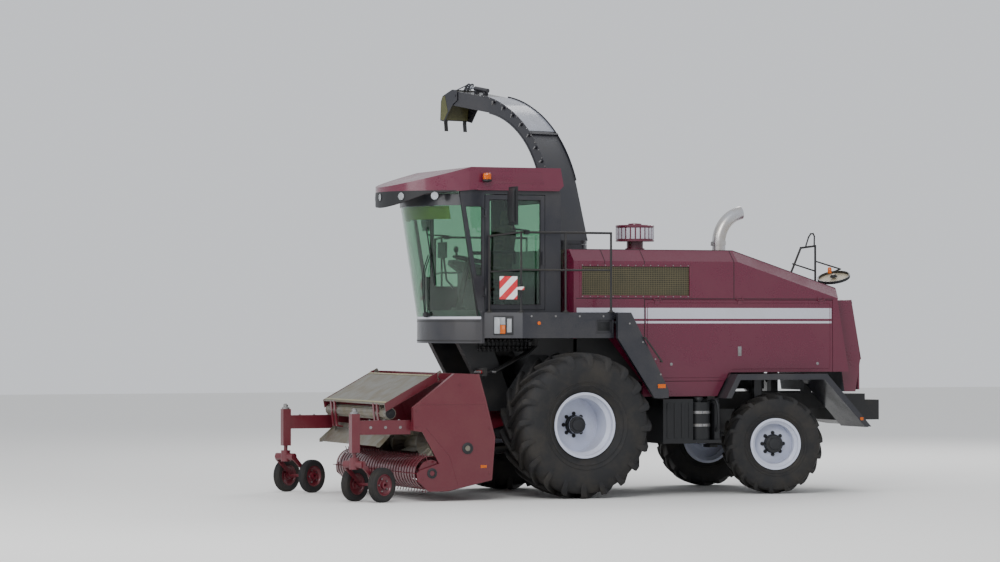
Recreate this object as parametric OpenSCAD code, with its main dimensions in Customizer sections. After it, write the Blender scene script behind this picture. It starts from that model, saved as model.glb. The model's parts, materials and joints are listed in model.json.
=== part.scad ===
// Self-propelled forage harvester with a pick-up header, in millimetres.
// X points forwards from the drive axle, Y to the machine's left, Z up from the ground.
// Each node is drawn in that frame, and placed() moves it so that the origin lies on the
// ground under the middle of the whole machine.

/* [Wheels] */
// Distance between the drive axle and the steered axle
wheelbase = 2800; // [2780:10:2860]
// Diameter of the drive tyres over the lugs
drive_d = 1800; // [1760:10:1820]
// Width of the drive tyres
drive_w = 760; // [700:10:780]
// Distance between the middles of the drive wheels
drive_track = 2400; // [2390:10:2440]
// Radius of the drive rims at the outer edge
drive_rim_r = 405; // [395:5:420]
// Diameter of the steered tyres over the lugs
steer_d = 1260; // [1230:10:1270]
// Width of the steered tyres
steer_w = 430; // [400:10:440]
// Distance between the middles of the steered wheels
steer_track = 2240; // [2220:10:2260]
// Radius of the steered rims at the outer edge
steer_rim_r = 325; // [315:5:335]
// Angle that the steered wheels stand at, seen from above
steer_rest = -12; // [-20:1:20]
// Height of the drive tyres' lugs
lug_h = 52; // [40:2:60]
// Number of lugs on each side of a drive tyre
lug_count = 20; // [18:1:22]

/* [Chassis] */
// Half the distance between the inner faces of the frame rails
rail_in = 420; // [410:5:440]
// Width of a frame rail
rail_w = 120; // [100:5:130]
// Height of a frame rail
rail_h = 200; // [160:10:210]
// Top of the frame rails above the ground
rail_top = 1260; // [1255:1:1262]
// Radius of the drive axle tube
axle_r = 150; // [120:5:155]
// Radius of the pin that the tow hitch takes
tow_pin_r = 16; // [12:1:25]

/* [Platform and cab] */
// Underside of the platform above the ground
deck_bottom = 1971; // [1940:1:1980]
// Height of the platform band
deck_h = 315; // [300:5:330]
// Half width of the platform
deck_half = 1380; // [1350:5:1400]
// Half width of the cab
cab_half = 900; // [880:5:920]
// Height of the cab from its floor to the roof's underside
cab_h = 1480; // [1440:5:1520]
// Radius of the windscreen in plan
glass_r = 1130; // [1100:5:1180]
// Forward lean of the windscreen
glass_lean = 9; // [6:0.5:11]
// Thickness of the cab glass
glass_t = 8; // [6:1:12]
// Height of the handrail above the platform
rail_height = 980; // [900:10:1100]
// Diameter of the handrail tube
tube_d = 28; // [24:1:34]

/* [Hood] */
// Half width of the hood
hood_half = 1100; // [1080:5:1110]
// Half width of the hood's top deck
hood_top_half = 950; // [900:5:980]
// Height of the hood's flat deck above the ground
hood_top = 3074; // [3040:1:3100]
// Thickness of the hood's walls and doors
hood_t = 35; // [25:1:45]

/* [Spout] */
// Radius of the chute's outer wall in its bend
chute_r = 1750; // [1700:10:1800]
// Length of the straight foot of the chute
chute_foot = 720; // [680:10:760]
// Length of the straight end of the chute
chute_end = 570; // [500:10:650]
// Width of the chute
chute_w = 450; // [400:10:460]
// Thickness of the chute's walls
chute_t = 8; // [6:1:12]
// Heading of the spout to the right of straight ahead
spout_heading = 72; // [0:1:90]

/* [Header] */
// Half width of the header over its side plates
header_half = 1475; // [1450:5:1500]
// Thickness of the header's side plates
side_t = 14; // [10:1:16]
// Radius of the auger over its flights
auger_r = 270; // [250:5:280]
// Radius of the reel over its tines
reel_r = 245; // [235:5:246]
// Number of tine bars on the reel
tine_bars = 5; // [4:1:6]
// Diameter of the caster wheels
caster_d = 420; // [400:10:440]
// Heading of the casters as they stand
caster_turn = 28; // [0:1:45]

/* [Hidden] */
$fn = 48;
far = 5000;
shaft_gap = 0.05;
seat_gap = 0.3;
run_gap = 6;

// Stations of the chassis
rear_x = -wheelbase;
drive_r = drive_d / 2;
steer_r = steer_d / 2;
rail_out = rail_in + rail_w;
rail_bottom = rail_top - rail_h;
rail_front = 940;
rail_rear = -3960;
kingpin_y = 860;
kingpin_r = 30;
arm_len = 150;
arm_top = steer_r + 34;
rod_z = steer_r + 60;
rod_r = 20;
rod_x = rear_x - arm_len * 0.9;
final_drive_y = drive_track / 2 - 121;
deck_top = deck_bottom + deck_h;
deck_front = 1090;
chamfer_x = 780;
deck_step = -15;
nose_rear = deck_front - 1;
nose_bottom = 1906;
nose_top = 2200;
rail_y = deck_half - 20;
rail_top_z = deck_top + rail_height;
post_x = 790;
board_y = rail_y + 40;
fender_y = deck_half + 60;
fender_x0 = -620;
fender_x1 = -1130;
fender_low = 1326;

// Stations of the cab
cab_rear = 70;
cab_t = 40;
floor_t = 30;
cab_floor = deck_top + floor_t;
cab_top = cab_floor + cab_h;
glass_corner_x = 1120;
glass_cx = glass_corner_x - sqrt((glass_r + 10) * (glass_r + 10) - cab_half * cab_half);
glass_low = 2236;
header_low = cab_top - 190;
door_x0 = 286;
door_x1 = 1080;
door_low = cab_floor + 6;
door_high = cab_top - 60;
hinge_z = [door_low + 180, door_high - 260];
hinge_x = door_x1 - 6;
hinge_y = cab_half + 14;
visor_r = 960;
visor_x = 1170;

// Stations of the hood
hood_front = -20;
hood_break = -2270;
hood_rear = -3740;
hood_bottom = 1430;
hood_rear_top = 2602;
bevel_drop = 146;
door_front_x = -980;
door_rear_x = -3620;
door_top_z = 2450;
door_split_x = -2150;
rear_panel_bottom = 1534;
door_gap = 6;
door_hinge_y = hood_half + 9.5;
door_hinge_z = door_top_z - door_gap / 2;
door_hinge_x = [door_front_x - 170, (door_front_x + door_rear_x) / 2, door_rear_x + 170];
exhaust_at = [-2440, 200, 0];
exhaust_r = 86;
hood_side_top = 2446;
hood_rear_line = [
    [hood_rear, hood_top + 10], [hood_rear, hood_rear_top], [hood_rear + 50, hood_side_top], [hood_rear - 110, 1536]
];

// Stations of the crop path
spout_x = -360;
drum_x = 560;
drum_z = 1000;
drum_r = 300;
duct_top = 3000;
turret_r = 290;
turret_bore_r = 230;
turret_top = 3150;
chute_base = 3200;
chute_back = 200;
chute_lean = 73;
chute_rise = 10;
chute_mouth = 190;
seam_heading = 137;
flap_pin_r = 18;
barrel_len = 260;
lever_h = 122;
lever_lean = -5;

// Directions along the chute's foot and along its end, and the normals on its outer side
foot_dir = [cos(chute_lean), sin(chute_lean)];
foot_n = [-sin(chute_lean), cos(chute_lean)];
chute_dir = [cos(chute_rise), sin(chute_rise)];
chute_n = [-sin(chute_rise), cos(chute_rise)];
bend_at = [-chute_back, chute_base] + chute_foot * foot_dir - chute_r * foot_n;
tip_top = bend_at + chute_r * chute_n + chute_end * chute_dir;
tip_low = tip_top - chute_mouth * chute_n;

// The belly rises straight, bends and meets the lower edge of the chute's mouth
belly_x = 160;
belly_foot = 400;
belly_r = belly_bend(tip_low - [belly_x, chute_base + belly_foot]);
belly_at = [belly_x + belly_r, chute_base + belly_foot];

// Pin of the flap and foot of its cylinder
flap_at = tip_top - 40 * chute_dir - 60 * chute_n;
barrel_at = tip_top - 420 * chute_dir + 62 * chute_n;

// Place of the pin along the cylinder
lever_pin_at = 380 + lever_h * tan(lever_lean);

// Stations of the header
auger_x = 1540;
auger_z = 640;
auger_shaft_r = 40;
reel_shaft_r = 30;
reel_x = 2000;
reel_z = 345;
mouth_half = 380;
band_pitch = 96;
guard_x = 1760;
guard_z = 1510;
caster_x = 2930;
caster_y = 1300;
caster_trail = 250;
wheel_gap = 150;
lift_lug_x = 1120;
lift_lug_z = 520;
lift_foot_x = 120;
lift_foot_z = 615;
lift_y = 280;
lift_pin_r = 22;

// Guard and mirror behind the hood
guard_y = 420;

// Room beyond the tine bars' ends, and the bands that fit between those ends
bar_room = 20;
band_count = floor(2 * (header_half - side_t - bar_room) / band_pitch);

// Ends of the machine, which place the origin
front_end = caster_x + 110;
rear_end = -4650;
mirror_out = deck_half + 235;
left_end = max(drive_track / 2 + drive_w / 2, mirror_out);
spout_reach = (flap_at[0] + 300) * sin(spout_heading) + (chute_w / 2 + 13) * cos(spout_heading);
right_end = -max(left_end, spout_reach);

// Moves the machine so that the origin is under the middle of its box
module placed() {
    translate([-(front_end + rear_end) / 2, -(left_end + right_end) / 2, 0]) children();
}

module both_sides() {
    children();
    mirror([0, 1, 0]) children();
}

module box(x0, x1, y0, y1, z0, z1) {
    translate([x0, y0, z0]) cube([x1 - x0, y1 - y0, z1 - z0]);
}

// An outline in X and Z, drawn out from y0 to y1
module side_profile(points, y0, y1) {
    translate([0, y1, 0]) rotate([90, 0, 0]) linear_extrude(y1 - y0) polygon(points);
}

// A rod along Y
module cross_rod(x, z, r, y0, y1) {
    translate([x, y0, z]) rotate([-90, 0, 0]) cylinder(r = r, h = y1 - y0);
}

// A round bar between two points
module bar(p, q, d) {
    v = q - p;
    translate(p) rotate([0, acos(v[2] / norm(v)), atan2(v[1], v[0])]) cylinder(d = d, h = norm(v), $fn = 24);
}

// A run of round tube with a welded ball at each corner
module tube_run(points, d) {
    for (i = [0 : len(points) - 2]) bar(points[i], points[i + 1], d);
    for (i = [1 : len(points) - 2]) translate(points[i]) sphere(d = d + 3, $fn = 24);
}

function reversed(list) = [for (i = [len(list) - 1 : -1 : 0]) list[i]];

// A closed body through rings of points, which run anticlockwise as seen from the first end
module skin(rings) {
    n = len(rings[0]);
    last = (len(rings) - 1) * n;
    polyhedron(
        points = [for (ring = rings) for (p = ring) p],
        faces = concat(
            [[for (i = [n - 1 : -1 : 0]) i]],
            [for (j = [0 : n : last - n]) for (i = [0 : n - 1])
                [j + i, j + (i + 1) % n, j + n + (i + 1) % n, j + n + i]],
            [[for (i = [0 : n - 1]) last + i]]
        )
    );
}

// Wheels, drawn about the Y axis with the outer side towards +Y

function mirrored_profile(half) = concat(half, reversed([for (p = half) [p[0], -p[1]]]));

// A revolved outline of radius and offset, turned to spin about Y
module revolved(points) {
    rotate([-90, 0, 0]) rotate_extrude($fn = 96) polygon(points);
}

// A closed ring about Y through points of radius and offset, with n flat sides
module flat_ring(points, n) {
    m = len(points);
    polyhedron(
        points = [for (i = [0 : n - 1]) for (p = points) [p[0] * sin(i * 360 / n), p[1], p[0] * cos(i * 360 / n)]],
        faces = [for (i = [0 : n - 1]) for (j = [0 : m - 1])
            [i * m + j, (i + 1) % n * m + j, (i + 1) % n * m + (j + 1) % m, i * m + (j + 1) % m]]
    );
}

// A tyre: radius r over the lugs, width w, bead on seat, with a number of lugs on each side
module tyre(r, w, seat, rim_half, lug, count) {
    bead = seat / cos(180 / count);
    tread = r - lug;
    outer = [[bead, 0.86 * rim_half], [seat + 0.5 * (r - seat), 0.5 * w], [tread, 0.41 * w]];
    inner = [[bead, 0.8 * rim_half], [tread - 60, 0.37 * w]];
    flat_ring(concat(mirrored_profile(outer), reversed(mirrored_profile(inner))), count);
    for (i = [0 : count - 1]) rotate([0, (i + 0.5) * 360 / count, 0]) {
        lug_bar(r, w, tread);
        rotate([0, 180 / count, 0]) mirror([0, 1, 0]) lug_bar(r, w, tread);
    }
}

// One bar of a chevron tread, on top of the wheel, from the middle down over the shoulder
module lug_bar(r, w, tread) {
    lean = 35;
    thick = 0.075 * r;
    long = (0.47 * w + 10) / cos(lean);
    top = sqrt(r * r - pow(long / 2 * sin(lean) + thick / 2 * cos(lean), 2));
    base = tread - 40;
    translate([0, 0.235 * w - 5, 0]) rotate([90, 0, 90 - lean]) translate([0, 0, -thick / 2]) linear_extrude(thick)
        polygon([
            [-long / 2, base], [long / 4, base], [long / 2, 0.765 * r], [long / 2, top - 0.02 * r],
            [-long / 2, top]
        ]);
}

// A rim with its well, its dished disc and the hub that turns with it
module rim(r, half, disc_t, hub_out, hub_r, hub_in, bore_r, bore_depth) {
    well = r - 58;
    seat = r - 17;
    revolved([
        [r, half], [r, half - 14], [seat, half - 14], [seat, half * 0.74], [well, half * 0.6],
        [well, -half * 0.6], [seat, -half * 0.74], [seat, 14 - half], [r, 14 - half], [r, -half],
        [seat - 14, -half], [seat - 14, -half * 0.78], [well - 13, -half * 0.64],
        [well - 13, half * 0.64], [seat - 14, half * 0.78], [seat - 14, half]
    ]);
    revolved([
        [hub_r - 5, disc_t + 4], [hub_r + 60, disc_t], [well - 10, disc_t - 38],
        [well - 10, disc_t - 54], [hub_r + 60, disc_t - 18], [hub_r - 5, disc_t - 14]
    ]);
    difference() {
        cross_rod(0, 0, hub_r, hub_in, hub_out);
        cross_rod(0, 0, bore_r, hub_in - 1, hub_in + bore_depth);
    }
}

// Places a left or right drive wheel, then a left or right steered one
module at_drive_wheel(side) {
    translate([0, side * drive_track / 2, drive_r]) scale_side(side) children();
}

module at_steer_wheel(side) {
    translate([rear_x, side * kingpin_y, steer_r]) rotate([0, 0, steer_rest])
        translate([0, side * (steer_track / 2 - kingpin_y), 0]) scale_side(side) children();
}

module scale_side(side) {
    mirror([0, side > 0 ? 0 : 1, 0]) children();
}

module drive_rim(side) color("#c5c9dc") {
    at_drive_wheel(side) rim(drive_rim_r, 300, -60, 60, 110, -115, 60 + shaft_gap, 100);
}

module drive_tyre(side) color("#1b1b1d") {
    at_drive_wheel(side) tyre(drive_r, drive_w, drive_rim_r - 17 + seat_gap, 286, lug_h, lug_count);
}

module steer_rim(side) color("#c5c9dc") {
    at_steer_wheel(side) rim(steer_rim_r, 190, 30, 120, 108, -60, 40 + shaft_gap, 110);
}

module steer_tyre(side) color("#1b1b1d") {
    at_steer_wheel(side) tyre(steer_r, steer_w, steer_rim_r - 17 + seat_gap, 176, 0.7 * lug_h, lug_count - 4);
}

// Chassis

module main_frame() color("#1d1d21") {
    both_sides() {
        box(rail_rear, rail_front, rail_in, rail_out, rail_bottom, rail_top);
        // Support that leans forward under the cab
        side_profile([
            [600, rail_top - 1], [rail_front, rail_top - 1], [1290, nose_bottom], [nose_rear - seat_gap, nose_bottom],
            [nose_rear - seat_gap, deck_bottom], [880, deck_bottom]
        ], rail_in, rail_out);
        // Outriggers that carry the sill and the tanks
        for (x = [-1250, -1950]) box(x, x + 100, rail_out - 1, hood_half, 1206, 1236);
        // Post under the rear of the hood
        box(-3600, -3500, rail_in, rail_out, rail_top - 1, rear_panel_bottom);
        // Post between the rail and the hood's front wall
        box(-140, -56, rail_in, rail_out, rail_top - 1, 1700);
        // Plates that hold the steered axle's pivot
        for (x = [rear_x - 105, rear_x + 75]) box(x, x + 30, -1, rail_in + 1, steer_r + 100, rail_bottom + 60);
    }
    // Plate that holds the hoses' couplings
    box(1010, 1060, rail_out - 1, 790, 1500, 1600);
    for (x = [-900, -1450, rear_x - 105, rear_x + 25, rail_rear])
        box(x, x + 80, -rail_in - 1, rail_in + 1, rail_bottom + 20, rail_top - 20);
}

module drive_axle() color("#26262b") {
    cross_rod(0, drive_r, axle_r, -final_drive_y, final_drive_y);
    translate([0, 0, drive_r]) rotate([0, 90, 0]) cylinder(r = 210, h = 180, center = true);
    both_sides() {
        cross_rod(0, drive_r, 230, final_drive_y - 170, final_drive_y);
        cross_rod(0, drive_r, 60, final_drive_y - 1, drive_track / 2 - 18);
        box(-120, 120, rail_in, rail_out, drive_r, rail_bottom);
        // Ears and pin for the foot of the lift cylinder
        for (y = [lift_y - 64, lift_y + 50])
            side_profile([[20, 800], [150, 860], [185, 600], [150, 556], [90, 556], [55, 600]], y, y + 14);
        cross_rod(lift_foot_x, lift_foot_z, lift_pin_r, lift_y - 68, lift_y + 68);
    }
}

module rear_axle() color("#26262b") {
    beam_top = steer_r + 85;
    difference() {
        union() {
            box(rear_x - 70, rear_x + 70, -kingpin_y + 115, kingpin_y - 115, steer_r - 70, beam_top);
            // Forked ends round the kingpins
            both_sides() for (z = [steer_r - 110, steer_r + 70])
                box(rear_x - 60, rear_x + 60, kingpin_y - 150, kingpin_y + 45, z, z + 40);
            // Barrel of the steering cylinder and its brackets
            cross_rod(rod_x, rod_z, 45, -250, 250);
            both_sides() box(rod_x, rear_x - 60, 120, 200, rod_z - 30, rod_z + 20);
        }
        cross_rod(rod_x, rod_z, rod_r + shaft_gap, -300, 300);
    }
    both_sides() translate([rear_x, kingpin_y, steer_r - 110]) cylinder(r = kingpin_r, h = 220);
    // Pivot boss on top of the beam
    translate([rear_x - 75 + seat_gap, 0, steer_r + 140]) rotate([0, 90, 0]) cylinder(r = 60, h = 150 - 2 * seat_gap);
}

module steering_rod() color("#8d8f96") {
    shift = -arm_len * sin(steer_rest);
    cross_rod(rod_x, rod_z, rod_r, -kingpin_y + shift, kingpin_y + shift);
    for (side = [-1, 1])
        translate([rod_x, side * kingpin_y + shift, arm_top + 2]) cylinder(r = 34, h = 30);
}

module knuckle(side) color("#2b2b30") {
    translate([rear_x, side * kingpin_y, steer_r]) rotate([0, 0, steer_rest]) scale_side(side)
        difference() {
            union() {
                translate([0, 0, -64]) cylinder(r = 55, h = 128);
                cross_rod(0, 0, 40, 0, steer_track / 2 - kingpin_y + 40);
                box(-arm_len, 0, -30, 30, 10, 34);
                translate([-arm_len, 0, 10]) cylinder(r = 36, h = 24);
            }
            translate([0, 0, -70]) cylinder(r = kingpin_r + shaft_gap, h = 140);
        }
}

module platform() color("#22232c") {
    difference() {
        union() {
            translate([0, 0, deck_bottom]) linear_extrude(deck_h) {
                polygon([
                    [deck_step, -deck_half], [chamfer_x, -deck_half], [deck_front, -cab_half], [deck_front, cab_half],
                    [chamfer_x, deck_half], [deck_step, deck_half]
                ]);
            }
            both_sides() box(-440, deck_step + 1, hood_half + seat_gap, deck_half, deck_bottom, deck_top);
            // Nose under the windscreen
            translate([0, 0, nose_bottom]) linear_extrude(nose_top - nose_bottom) intersection() {
                translate([glass_cx, 0]) circle(r = glass_r + 10, $fn = 96);
                translate([nose_rear, -cab_half]) square([600, 2 * cab_half]);
            }
        }
        // Recess in the band on each side
        both_sides() box(-420, -200, deck_half - 20, deck_half + 1, deck_bottom + 60, deck_top - 90);
    }
}

module front_fenders() color("#22232c") {
    // X and Z of the outer edge, then of the edge over the wheel
    outer = [[-440, deck_top], [fender_x0, deck_top], [fender_x1, fender_low], [fender_x1, 1226]];
    inner = [[-940, 1226], [-440, deck_bottom]];
    both_sides() {
        side_profile(concat(outer, inner), fender_y, fender_y + 60);
        side_profile([
            [-440, deck_top], [fender_x0, deck_top], [fender_x1, fender_low], [fender_x1, 1226],
            [fender_x1 + 40, 1226], [fender_x1 + 40, fender_low - 10], [fender_x0 + 24, deck_top - 40],
            [-440, deck_top - 40]
        ], hood_half + seat_gap, fender_y + 1);
    }
}

module rear_fenders() color("#20222e") {
    both_sides() {
        translate([rear_x, 0, 0]) {
            side_profile([
                [800, 1212], [640, 1513], [-620, 1513], [-1250, 836], [-1160, 836], [-585, 1440], [600, 1440], [725, 1212]
            ], 1275, 1335);
            side_profile([
                [800, 1212], [640, 1513], [-620, 1513], [-1250, 836], [-1220, 826], [-600, 1480], [620, 1480], [765, 1212]
            ], rail_out + 20, 1276);
        }
        box(rear_x - 50, rear_x + 50, rail_out, rail_out + 60, rail_bottom + 90, 1481);
    }
}

module tanks() color("#202024") {
    z0 = 653;
    z1 = 1206;
    box(-1950, -1150, 600, 1290, z0, z0 + 40);
    box(-1560, -1150, 600, 1290, z0 + 39, z1);
    box(-1950, -1559, 600, 960, z0 + 39, z1);
    box(-1950, -1880, 959, 1240, z0 + 39, z1 - 60);
    translate([-1715, 1120, z0 + 39]) cylinder(r = 145, h = 470);
    mirror([0, 1, 0]) box(-1950, -1150, 600, 1290, z0, z1);
}

module counterweight() color("#1d1d21") {
    block_front = -4380;
    difference() {
        union() {
            side_profile([
                [rail_rear, 1240], [block_front, 1240], [block_front, 826], [rail_rear, 900]
            ], -rail_out, rail_out);
            box(rear_end, block_front + 1, -420, 420, 896, 1156);
        }
        // Jaw for the drawbar eye, with its pin hole
        box(rear_end - 1, rear_end + 200, -110, 110, 990, 1062);
        translate([rear_end + 90, 0, 880]) cylinder(r = tow_pin_r, h = 300);
    }
}

// Cab

// Plan of the cab's outside at a given height above the bottom of the windscreen
module cab_plan(r, shift) {
    intersection() {
        translate([glass_cx + shift, 0]) circle(r = r, $fn = 96);
        translate([cab_rear, -cab_half]) square([2000, 2 * cab_half]);
    }
}

// Cylinder of the windscreen, leaning forward
module glass_cylinder(r) {
    translate([glass_cx, 0, glass_low - 20]) rotate([0, glass_lean, 0]) translate([0, 0, -300])
        cylinder(r = r, h = 2200, $fn = 96);
}

function lean_x(z) = glass_corner_x + 38 + tan(glass_lean + 0.6) * (z - glass_low);

module cab_shell() color("#24252e") {
    shift_top = (header_low - glass_low) * tan(glass_lean) + 14;
    // Floor
    translate([0, 0, deck_top]) linear_extrude(floor_t) intersection() {
        cab_plan(glass_r + 10, 0);
        translate([cab_rear, -cab_half]) square([1150 - cab_rear, 2 * cab_half]);
    }
    // Rear wall with its window
    difference() {
        box(cab_rear, cab_rear + cab_t, -cab_half, cab_half, cab_floor - 1, cab_top);
        box(cab_rear - 1, cab_rear + cab_t + 1, -700, 700, cab_floor + 500, cab_top - 130);
    }
    both_sides() {
        // Rail over the door and the windscreen's side
        side_profile([
            [cab_rear, cab_top - 51], [1413, cab_top - 51], [1413, cab_top - 16], [1240, cab_top], [cab_rear, cab_top]
        ], cab_half - cab_t, cab_half);
        // Rear pillar
        box(cab_rear, door_x0 - 6, cab_half - cab_t, cab_half, cab_floor - 1, cab_top - 50);
        // Front pillar with its quarter light
        difference() {
            side_profile([
                [door_x1 + 8, cab_floor - 1], [lean_x(cab_floor), cab_floor - 1],
                [lean_x(cab_top - 50), cab_top - 50], [door_x1 + 8, cab_top - 50]
            ], cab_half - cab_t, cab_half);
            side_profile([
                [door_x1 + 42, cab_floor + 420], [lean_x(cab_floor + 420) - 46, cab_floor + 420],
                [lean_x(cab_top - 200) - 46, cab_top - 200], [door_x1 + 42, cab_top - 200]
            ], cab_half - cab_t - 1, cab_half + 1);
        }
        // Corner between the floor and the trim under the glass
        box(deck_front + seat_gap, 1135, cab_half - cab_t - 12, cab_half - 12, nose_top, cab_floor - 1);
    }
    // Lugs and pins of the door's hinges
    for (z = hinge_z) {
        for (low = [z - 16, z + 81]) {
            translate([hinge_x, hinge_y, low]) cylinder(r = 10, h = 15);
            box(hinge_x, door_x1 + 32, hinge_y - 6, hinge_y + 10, low, low + 15);
            box(door_x1 + 10, door_x1 + 32, cab_half - 1, hinge_y, low, low + 15);
        }
        translate([hinge_x, hinge_y, z - 16]) cylinder(r = 6, h = 112);
    }
    // Sill on the right, where there is a fixed window
    mirror([0, 1, 0]) box(door_x0 - 7, door_x1 + 9, cab_half - cab_t, cab_half, cab_floor - 1, cab_floor + 300);
    // Trim under the windscreen and the header over it
    translate([0, 0, nose_top]) linear_extrude(glass_low - nose_top - 4) difference() {
        intersection() {
            cab_plan(glass_r + 10, 0);
            translate([deck_front + seat_gap, -cab_half]) square([1000, 2 * cab_half]);
        }
        cab_plan_inner(glass_r - 16, 0);
    }
    translate([0, 0, header_low]) linear_extrude(cab_top - 51 - header_low) difference() {
        intersection() {
            cab_plan(glass_r + 12, shift_top);
            translate([door_x1 + 8, -cab_half]) square([1000, 2 * cab_half]);
        }
        cab_plan_inner(glass_r - 24, shift_top);
    }
}

// Inside of a trim ring, as wide as the space between the pillars
module cab_plan_inner(r, shift) {
    intersection() {
        translate([glass_cx + shift, 0]) circle(r = r, $fn = 96);
        translate([0, cab_t - cab_half]) square([2000, 2 * (cab_half - cab_t)]);
    }
}

// Outline of the roof from the side: rear, deck, slope, visor lip, underside
roof_side = [
    [110, cab_top], [50, cab_top + 60], [90, cab_top + 280], [1280, cab_top + 280], [2140, cab_top + 46],
    [2150, cab_top - 186], [2110, cab_top - 196], [1800, cab_top - 51], [1240, cab_top]
];

module cab_roof() color("#57143a") {
    half = cab_half + 50;
    difference() {
        intersection() {
            side_profile(roof_side, -half, half);
            translate([0, 0, cab_top - 300]) linear_extrude(700) {
                translate([40, -half]) square([visor_x - 40, 2 * half]);
                translate([visor_x, 0]) circle(r = visor_r, $fn = 96);
            }
        }
        visor_lamps(56, visor_r - 30, visor_r + 20);
    }
}

module cab_glass() color("#8fb5a2", 0.45) {
    // Windscreen
    intersection() {
        difference() {
            glass_cylinder(glass_r);
            glass_cylinder(glass_r - glass_t);
        }
        box(700, 2000, -cab_half + cab_t + 2, cab_half - cab_t - 2, glass_low, header_low - seat_gap);
    }
    // Rear window
    box(cab_rear + 16, cab_rear + 16 + glass_t, -700 + seat_gap, 700 - seat_gap,
        cab_floor + 500 + seat_gap, cab_top - 130 - seat_gap);
    // Window on the right
    mirror([0, 1, 0]) box(door_x0 - 6 + seat_gap, door_x1 + 8 - seat_gap, cab_half - 24, cab_half - 24 + glass_t,
        cab_floor + 300 + seat_gap, cab_top - 51 - seat_gap);
    // Quarter lights
    both_sides() side_profile([
        [door_x1 + 42 + seat_gap, cab_floor + 420 + seat_gap], [lean_x(cab_floor + 420) - 47, cab_floor + 420 + seat_gap],
        [lean_x(cab_top - 200) - 47, cab_top - 200 - seat_gap], [door_x1 + 42 + seat_gap, cab_top - 200 - seat_gap]
    ], cab_half - 24, cab_half - 24 + glass_t);
}

module cab_door() color("#24252e") {
    frame = 55;
    difference() {
        box(door_x0, door_x1, cab_half - cab_t + 2, cab_half, door_low, door_high);
        box(door_x0 + frame, door_x1 - frame, cab_half - cab_t, cab_half + 1, door_low + frame, door_high - frame);
    }
    // Hinge barrels on the front edge and the handle at the rear
    for (z = hinge_z) difference() {
        union() {
            translate([hinge_x, hinge_y, z]) cylinder(r = 11, h = 80);
            box(hinge_x - 16, hinge_x, cab_half - 1, hinge_y, z, z + 80);
        }
        translate([hinge_x, hinge_y, z - 1]) cylinder(r = 6 + shaft_gap, h = 82);
    }
    box(door_x0 + 12, door_x0 + 42, cab_half - 1, cab_half + 30, cab_floor + 560, cab_floor + 720);
}

module door_glass() color("#8fb5a2", 0.45) {
    frame = 55 + seat_gap;
    box(door_x0 + frame, door_x1 - frame, cab_half - 24, cab_half - 24 + glass_t, door_low + frame, door_high - frame);
}

module operator_seat() color("#2a2b30") {
    box(520, 780, -170, 170, cab_floor, 2700);
    box(430, 900, -250, 250, 2699, 2820);
    side_profile([[430, 2819], [560, 2819], [480, 3420], [450, 3560], [370, 3540], [400, 3400]], -235, 235);
}

module steering_column() color("#26272b") {
    translate([1080, 0, cab_floor]) {
        cylinder(r = 90, h = 40);
        translate([0, 0, 14]) rotate([0, -12, 0]) {
            cylinder(r = 38, h = 640);
            translate([0, 0, 640]) {
                rotate_extrude($fn = 64) translate([190, 0]) circle(r = 15, $fn = 24);
                for (a = [60, 180, 300]) rotate([0, 0, a]) translate([0, -14, -8]) cube([190, 28, 16]);
                translate([0, 0, -12]) cylinder(r = 46, h = 30);
            }
        }
    }
}

// Work lamps in the visor's lip, one for each heading
module visor_lamps(r, inner, outer) {
    for (a = [-56, -28, 0, 28, 56])
        translate([visor_x, 0, cab_top - 76]) rotate([0, 0, a]) rotate([0, 90, 0])
            translate([0, 0, inner]) cylinder(r = r, h = outer - inner, $fn = 32);
}

module lamps() color("#e8842c") {
    visor_lamps(56 - seat_gap, visor_r - 30 + seat_gap, visor_r + 6);
    both_sides() {
        // Lamp cluster on the chamfered corner of the platform
        translate([(chamfer_x + deck_front) / 2, (deck_half + cab_half) / 2, deck_top - 200])
            rotate([0, 0, atan2(deck_front - chamfer_x, deck_half - cab_half)])
                for (y = [-130, -42, 46]) translate([seat_gap, y, -62]) cube([14, 84, 204]);
        // Side lamp on the platform's band, and markers on the fenders
        translate([562, deck_half + seat_gap, deck_top - 132]) rotate([-90, 0, 0]) cylinder(r = 22, h = 12);
        box(-1085, -980, fender_y + 60 + seat_gap, fender_y + 70, 1350, 1400);
        box(rear_x - 1130, rear_x - 1088, 1335 + seat_gap, 1345, 918, 956);
        // Beacon beside the roof
        box(1080, 1120, cab_half + 50, cab_half + 130, cab_top + 96, cab_top + 108);
        translate([1100, cab_half + 112, cab_top + 107]) cylinder(r = 55, h = 100);
    }
}

module mirrors() color("#1c1d22") {
    both_sides() {
        box(935, 965, mirror_out - 230, mirror_out, 3350, 3815);
        tube_run([[950, 1500, 3352], [940, 1490, 3300], [720, rail_y + 22, rail_top_z + 22]], 20);
        // Clamp on the handrail
        difference() {
            box(690, 750, rail_y - 26, rail_y + 26, rail_top_z - 26, rail_top_z + 26);
            translate([680, rail_y, rail_top_z]) rotate([0, 90, 0]) cylinder(d = tube_d + 2 * shaft_gap, h = 80);
        }
    }
}

module warning_boards() color("#d9d2d4") {
    both_sides() {
        box(post_x + 70, post_x + 300, board_y, board_y + 6, deck_top + 160, deck_top + 440);
        // Bracket on the handrail's post
        box(post_x + 20, post_x + 110, rail_y + 20, board_y + 1, deck_top + 279, deck_top + 309);
        difference() {
            box(post_x - 24, post_x + 24, rail_y - 22, board_y + 1, deck_top + 274, deck_top + 314);
            translate([post_x, rail_y, deck_top + 264]) cylinder(d = tube_d - 2 + 2 * shaft_gap, h = 60);
        }
    }
}

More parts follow.
